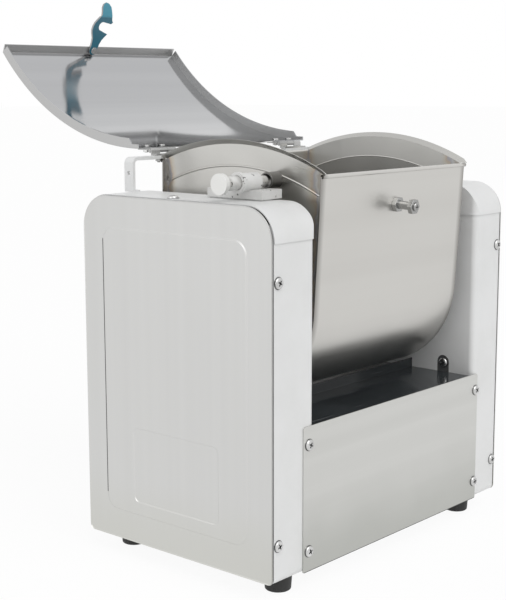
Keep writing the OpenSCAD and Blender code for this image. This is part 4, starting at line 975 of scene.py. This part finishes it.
# Inside, the drive is cast iron, machined steel and bronze; the tilting trunnions
# and their bearings carry the tub on the housings' inner plates.
cast_iron = painted_finish("cast_iron", (0.13, 0.135, 0.14), (0.09, 0.09, 0.09), 0.5, 0.5)
dress(cast_iron, "bridge_plate", "plate_left", "plate_right", "motor_cradle", "large_pulley", "motor_pulley")
machined = steel_finish("machined_steel", (0.5, 0.5, 0.5), (0.4, 0.4, 0.4), 0.3, 0.1)
dress(machined, "large_gear", "pinion", "mix_shaft", "counter_shaft", "motor_shaft", "bridge_posts")
dress(machined, "bridge_bearings", "shaft_bearing_right", "trunnions")
bronze = steel_finish("bearing_bronze", (0.55, 0.36, 0.14), (0.45, 0.29, 0.11), 0.3, 0.1)
dress(bronze, "tilt_bearings")
motor_paint = painted_finish("motor_paint", (0.075, 0.095, 0.12), (0.06, 0.07, 0.08), 0.4, 0.2)
dress(motor_paint, "motor_body", "motor_flange")
dress(foot_rubber, "v_belt")

# The agitator turns in the tub: bars welded between two hubs, satin stainless with
# eased edges.
agitator_steel = steel_finish(
    "agitator_steel", (0.6, 0.595, 0.58), (0.54, 0.535, 0.52), 0.24, 0.06, (200, 200, 200)
)
eased("agitator", "mixing_bars", "mixer", "agitator_steel", agitator_steel, 0.0006)

# Two push buttons in plastic bezels stand on the right cover, green to start and
# red to stop, and a cable gland on the back of the right housing takes the cord.
black_plastic = painted_finish("black_plastic", (0.008, 0.008, 0.008), (0.016, 0.016, 0.016), 0.42, 0.2)
dress(black_plastic, "control_box")
eased("button_bezels", "bezel_rings", "frame", "black_plastic", black_plastic, 0.0008, segments=3)
eased("cord_gland", "cable_gland", "frame", "black_plastic", black_plastic, 0.0006)
green_plastic = painted_finish("green_plastic", (0.01, 0.21, 0.04), (0.01, 0.16, 0.03), 0.25, 0.05)
red_plastic = painted_finish("red_plastic", (0.47, 0.01, 0.01), (0.38, 0.01, 0.01), 0.25, 0.05)
button_edge, button_raise, underside = 0.0014, 0.0002, at(240, 0, 0).x
for name, slot, finish in (("start", "green_plastic", green_plastic), ("stop", "red_plastic", red_plastic)):
    button = worked(name + "_button", button_edge, 4)
    edit(button)
    pick(button, "verts", lambda co: abs(co.x - underside) < 0.0003)
    bpy.ops.transform.translate(value=(button_raise, 0, 0))
    close()
    settle(button, name + "_push", name, slot, finish, name + "_button")

# A domed plastic plug closes the spare cord hole in the back of the left housing,
# pressed in with its rim against the sheet.
plug_r, plug_long, plug_sunk = 0.0078, 0.006, 0.002
plug = started(bpy.ops.mesh.primitive_cylinder_add, vertices=48, radius=plug_r, depth=plug_long,
               location=(0, 0, -plug_sunk))
edit(plug)
pick(plug, "faces", lambda co, normal: normal.z > 0.9)
dome((-0.0007, 1.35), (0.0009, 1.0), (0.0006, 0.93), (0.0004, 0.8), (0.0002, 0.6))
bpy.ops.mesh.inset(thickness=0.0012)
bpy.ops.transform.translate(value=(0, 0, -0.0003))
bpy.ops.mesh.select_all(action="SELECT")
bpy.ops.mesh.normals_make_consistent(inside=False)
close()
spare_hole = [(at(-198, 302.35, 60), behind)]
settle(fitted(plug, spare_hole), "blank_plug", "frame", "black_plastic", black_plastic)
bpy.data.objects.remove(plug)

# The machine stands on a plain pale floor under a broad soft studio light, seen
# from the front left and a little above, as it was photographed.
floor = started(bpy.ops.mesh.primitive_plane_add, size=60.0)
floor.name = "studio_floor"
floor_paper = bpy.data.materials.new("floor_paper")
floor_paper.use_nodes = True
paper_tree = floor_paper.node_tree
paper = paper_tree.nodes["Principled BSDF"]
paper.inputs["Base Color"].default_value = (0.95, 0.95, 0.95, 1)
paper.inputs["Roughness"].default_value = 0.9
paper.inputs["Specular IOR Level"].default_value = 0.0
glow = add_node(paper_tree, "ShaderNodeEmission", Strength=1.0)
seen = add_node(paper_tree, "ShaderNodeLightPath")
mirrored = maths(paper_tree, "MAXIMUM")
passed = maths(paper_tree, "MAXIMUM")
whiteness = maths(paper_tree, "MULTIPLY", 0.93)
blend_paper = add_node(paper_tree, "ShaderNodeMixShader")
wire(
    paper_tree,
    (seen, "Is Camera Ray", mirrored, 0),
    (seen, "Is Glossy Ray", mirrored, 1),
    (mirrored, "Value", passed, 0),
    (seen, "Is Transmission Ray", passed, 1),
    (passed, "Value", whiteness, 0),
    (whiteness, "Value", blend_paper, "Fac"),
    (paper, "BSDF", blend_paper, 1),
    (glow, "Emission", blend_paper, 2),
    (blend_paper, "Shader", paper_tree.nodes["Material Output"], "Surface"),
)
floor.data.materials.append(floor_paper)

studio = bpy.data.worlds.new("studio")
bpy.context.scene.world = studio
studio.use_nodes = True
air = studio.node_tree
air_colour = air.nodes["Background"]
air_colour.inputs["Color"].default_value = (1, 1, 1, 1)
ray = add_node(air, "ShaderNodeLightPath")
shown = maths(air, "MAXIMUM")
level = add_node(air, "ShaderNodeMapRange", To_Min=0.5, To_Max=1.0)
wire(
    air,
    (ray, "Is Camera Ray", shown, 0),
    (ray, "Is Glossy Ray", shown, 1),
    (shown, "Value", level, "Value"),
    (level, "Result", air_colour, "Strength"),
)


def lamp(name, kind, energy, place, aim):
    """A lamp at a place, turned towards what it lights."""
    light = bpy.data.lights.new(name, kind)
    light.energy = energy
    stand = bpy.data.objects.new(name, light)
    bpy.context.scene.collection.objects.link(stand)
    stand.location = place
    stand.rotation_euler = (Vector(aim) - Vector(place)).to_track_quat("-Z", "Y").to_euler()
    return light


sun = lamp("soft_key", "SUN", 1.35, (-0.25, -0.8, 1.0), (0, 0, 0))
sun.angle = radians(50)
box = lamp("left_box", "AREA", 8, (-2.4, 0.25, 1.0), (0, 0, 0.3))
box.shape = "RECTANGLE"
box.size = 1.6
box.size_y = 1.4

camera = bpy.data.cameras.new("photo_view")
camera.sensor_fit = "VERTICAL"
camera.sensor_height = 36.0
camera.lens = 77.687
camera.clip_start = 0.05
eye = bpy.data.objects.new("photo_view", camera)
bpy.context.scene.collection.objects.link(eye)
eye.location = (-1.28734, -1.15068, 0.57491)
eye.rotation_mode = "QUATERNION"
tilt, heading, roll = radians(90 - 9.3732), radians(-48.7717), radians(-0.1568)
eye_turn = Euler((tilt, 0, heading)).to_matrix() @ Matrix.Rotation(roll, 3, "Z")
eye.rotation_quaternion = eye_turn.to_quaternion()
bpy.context.scene.camera = eye
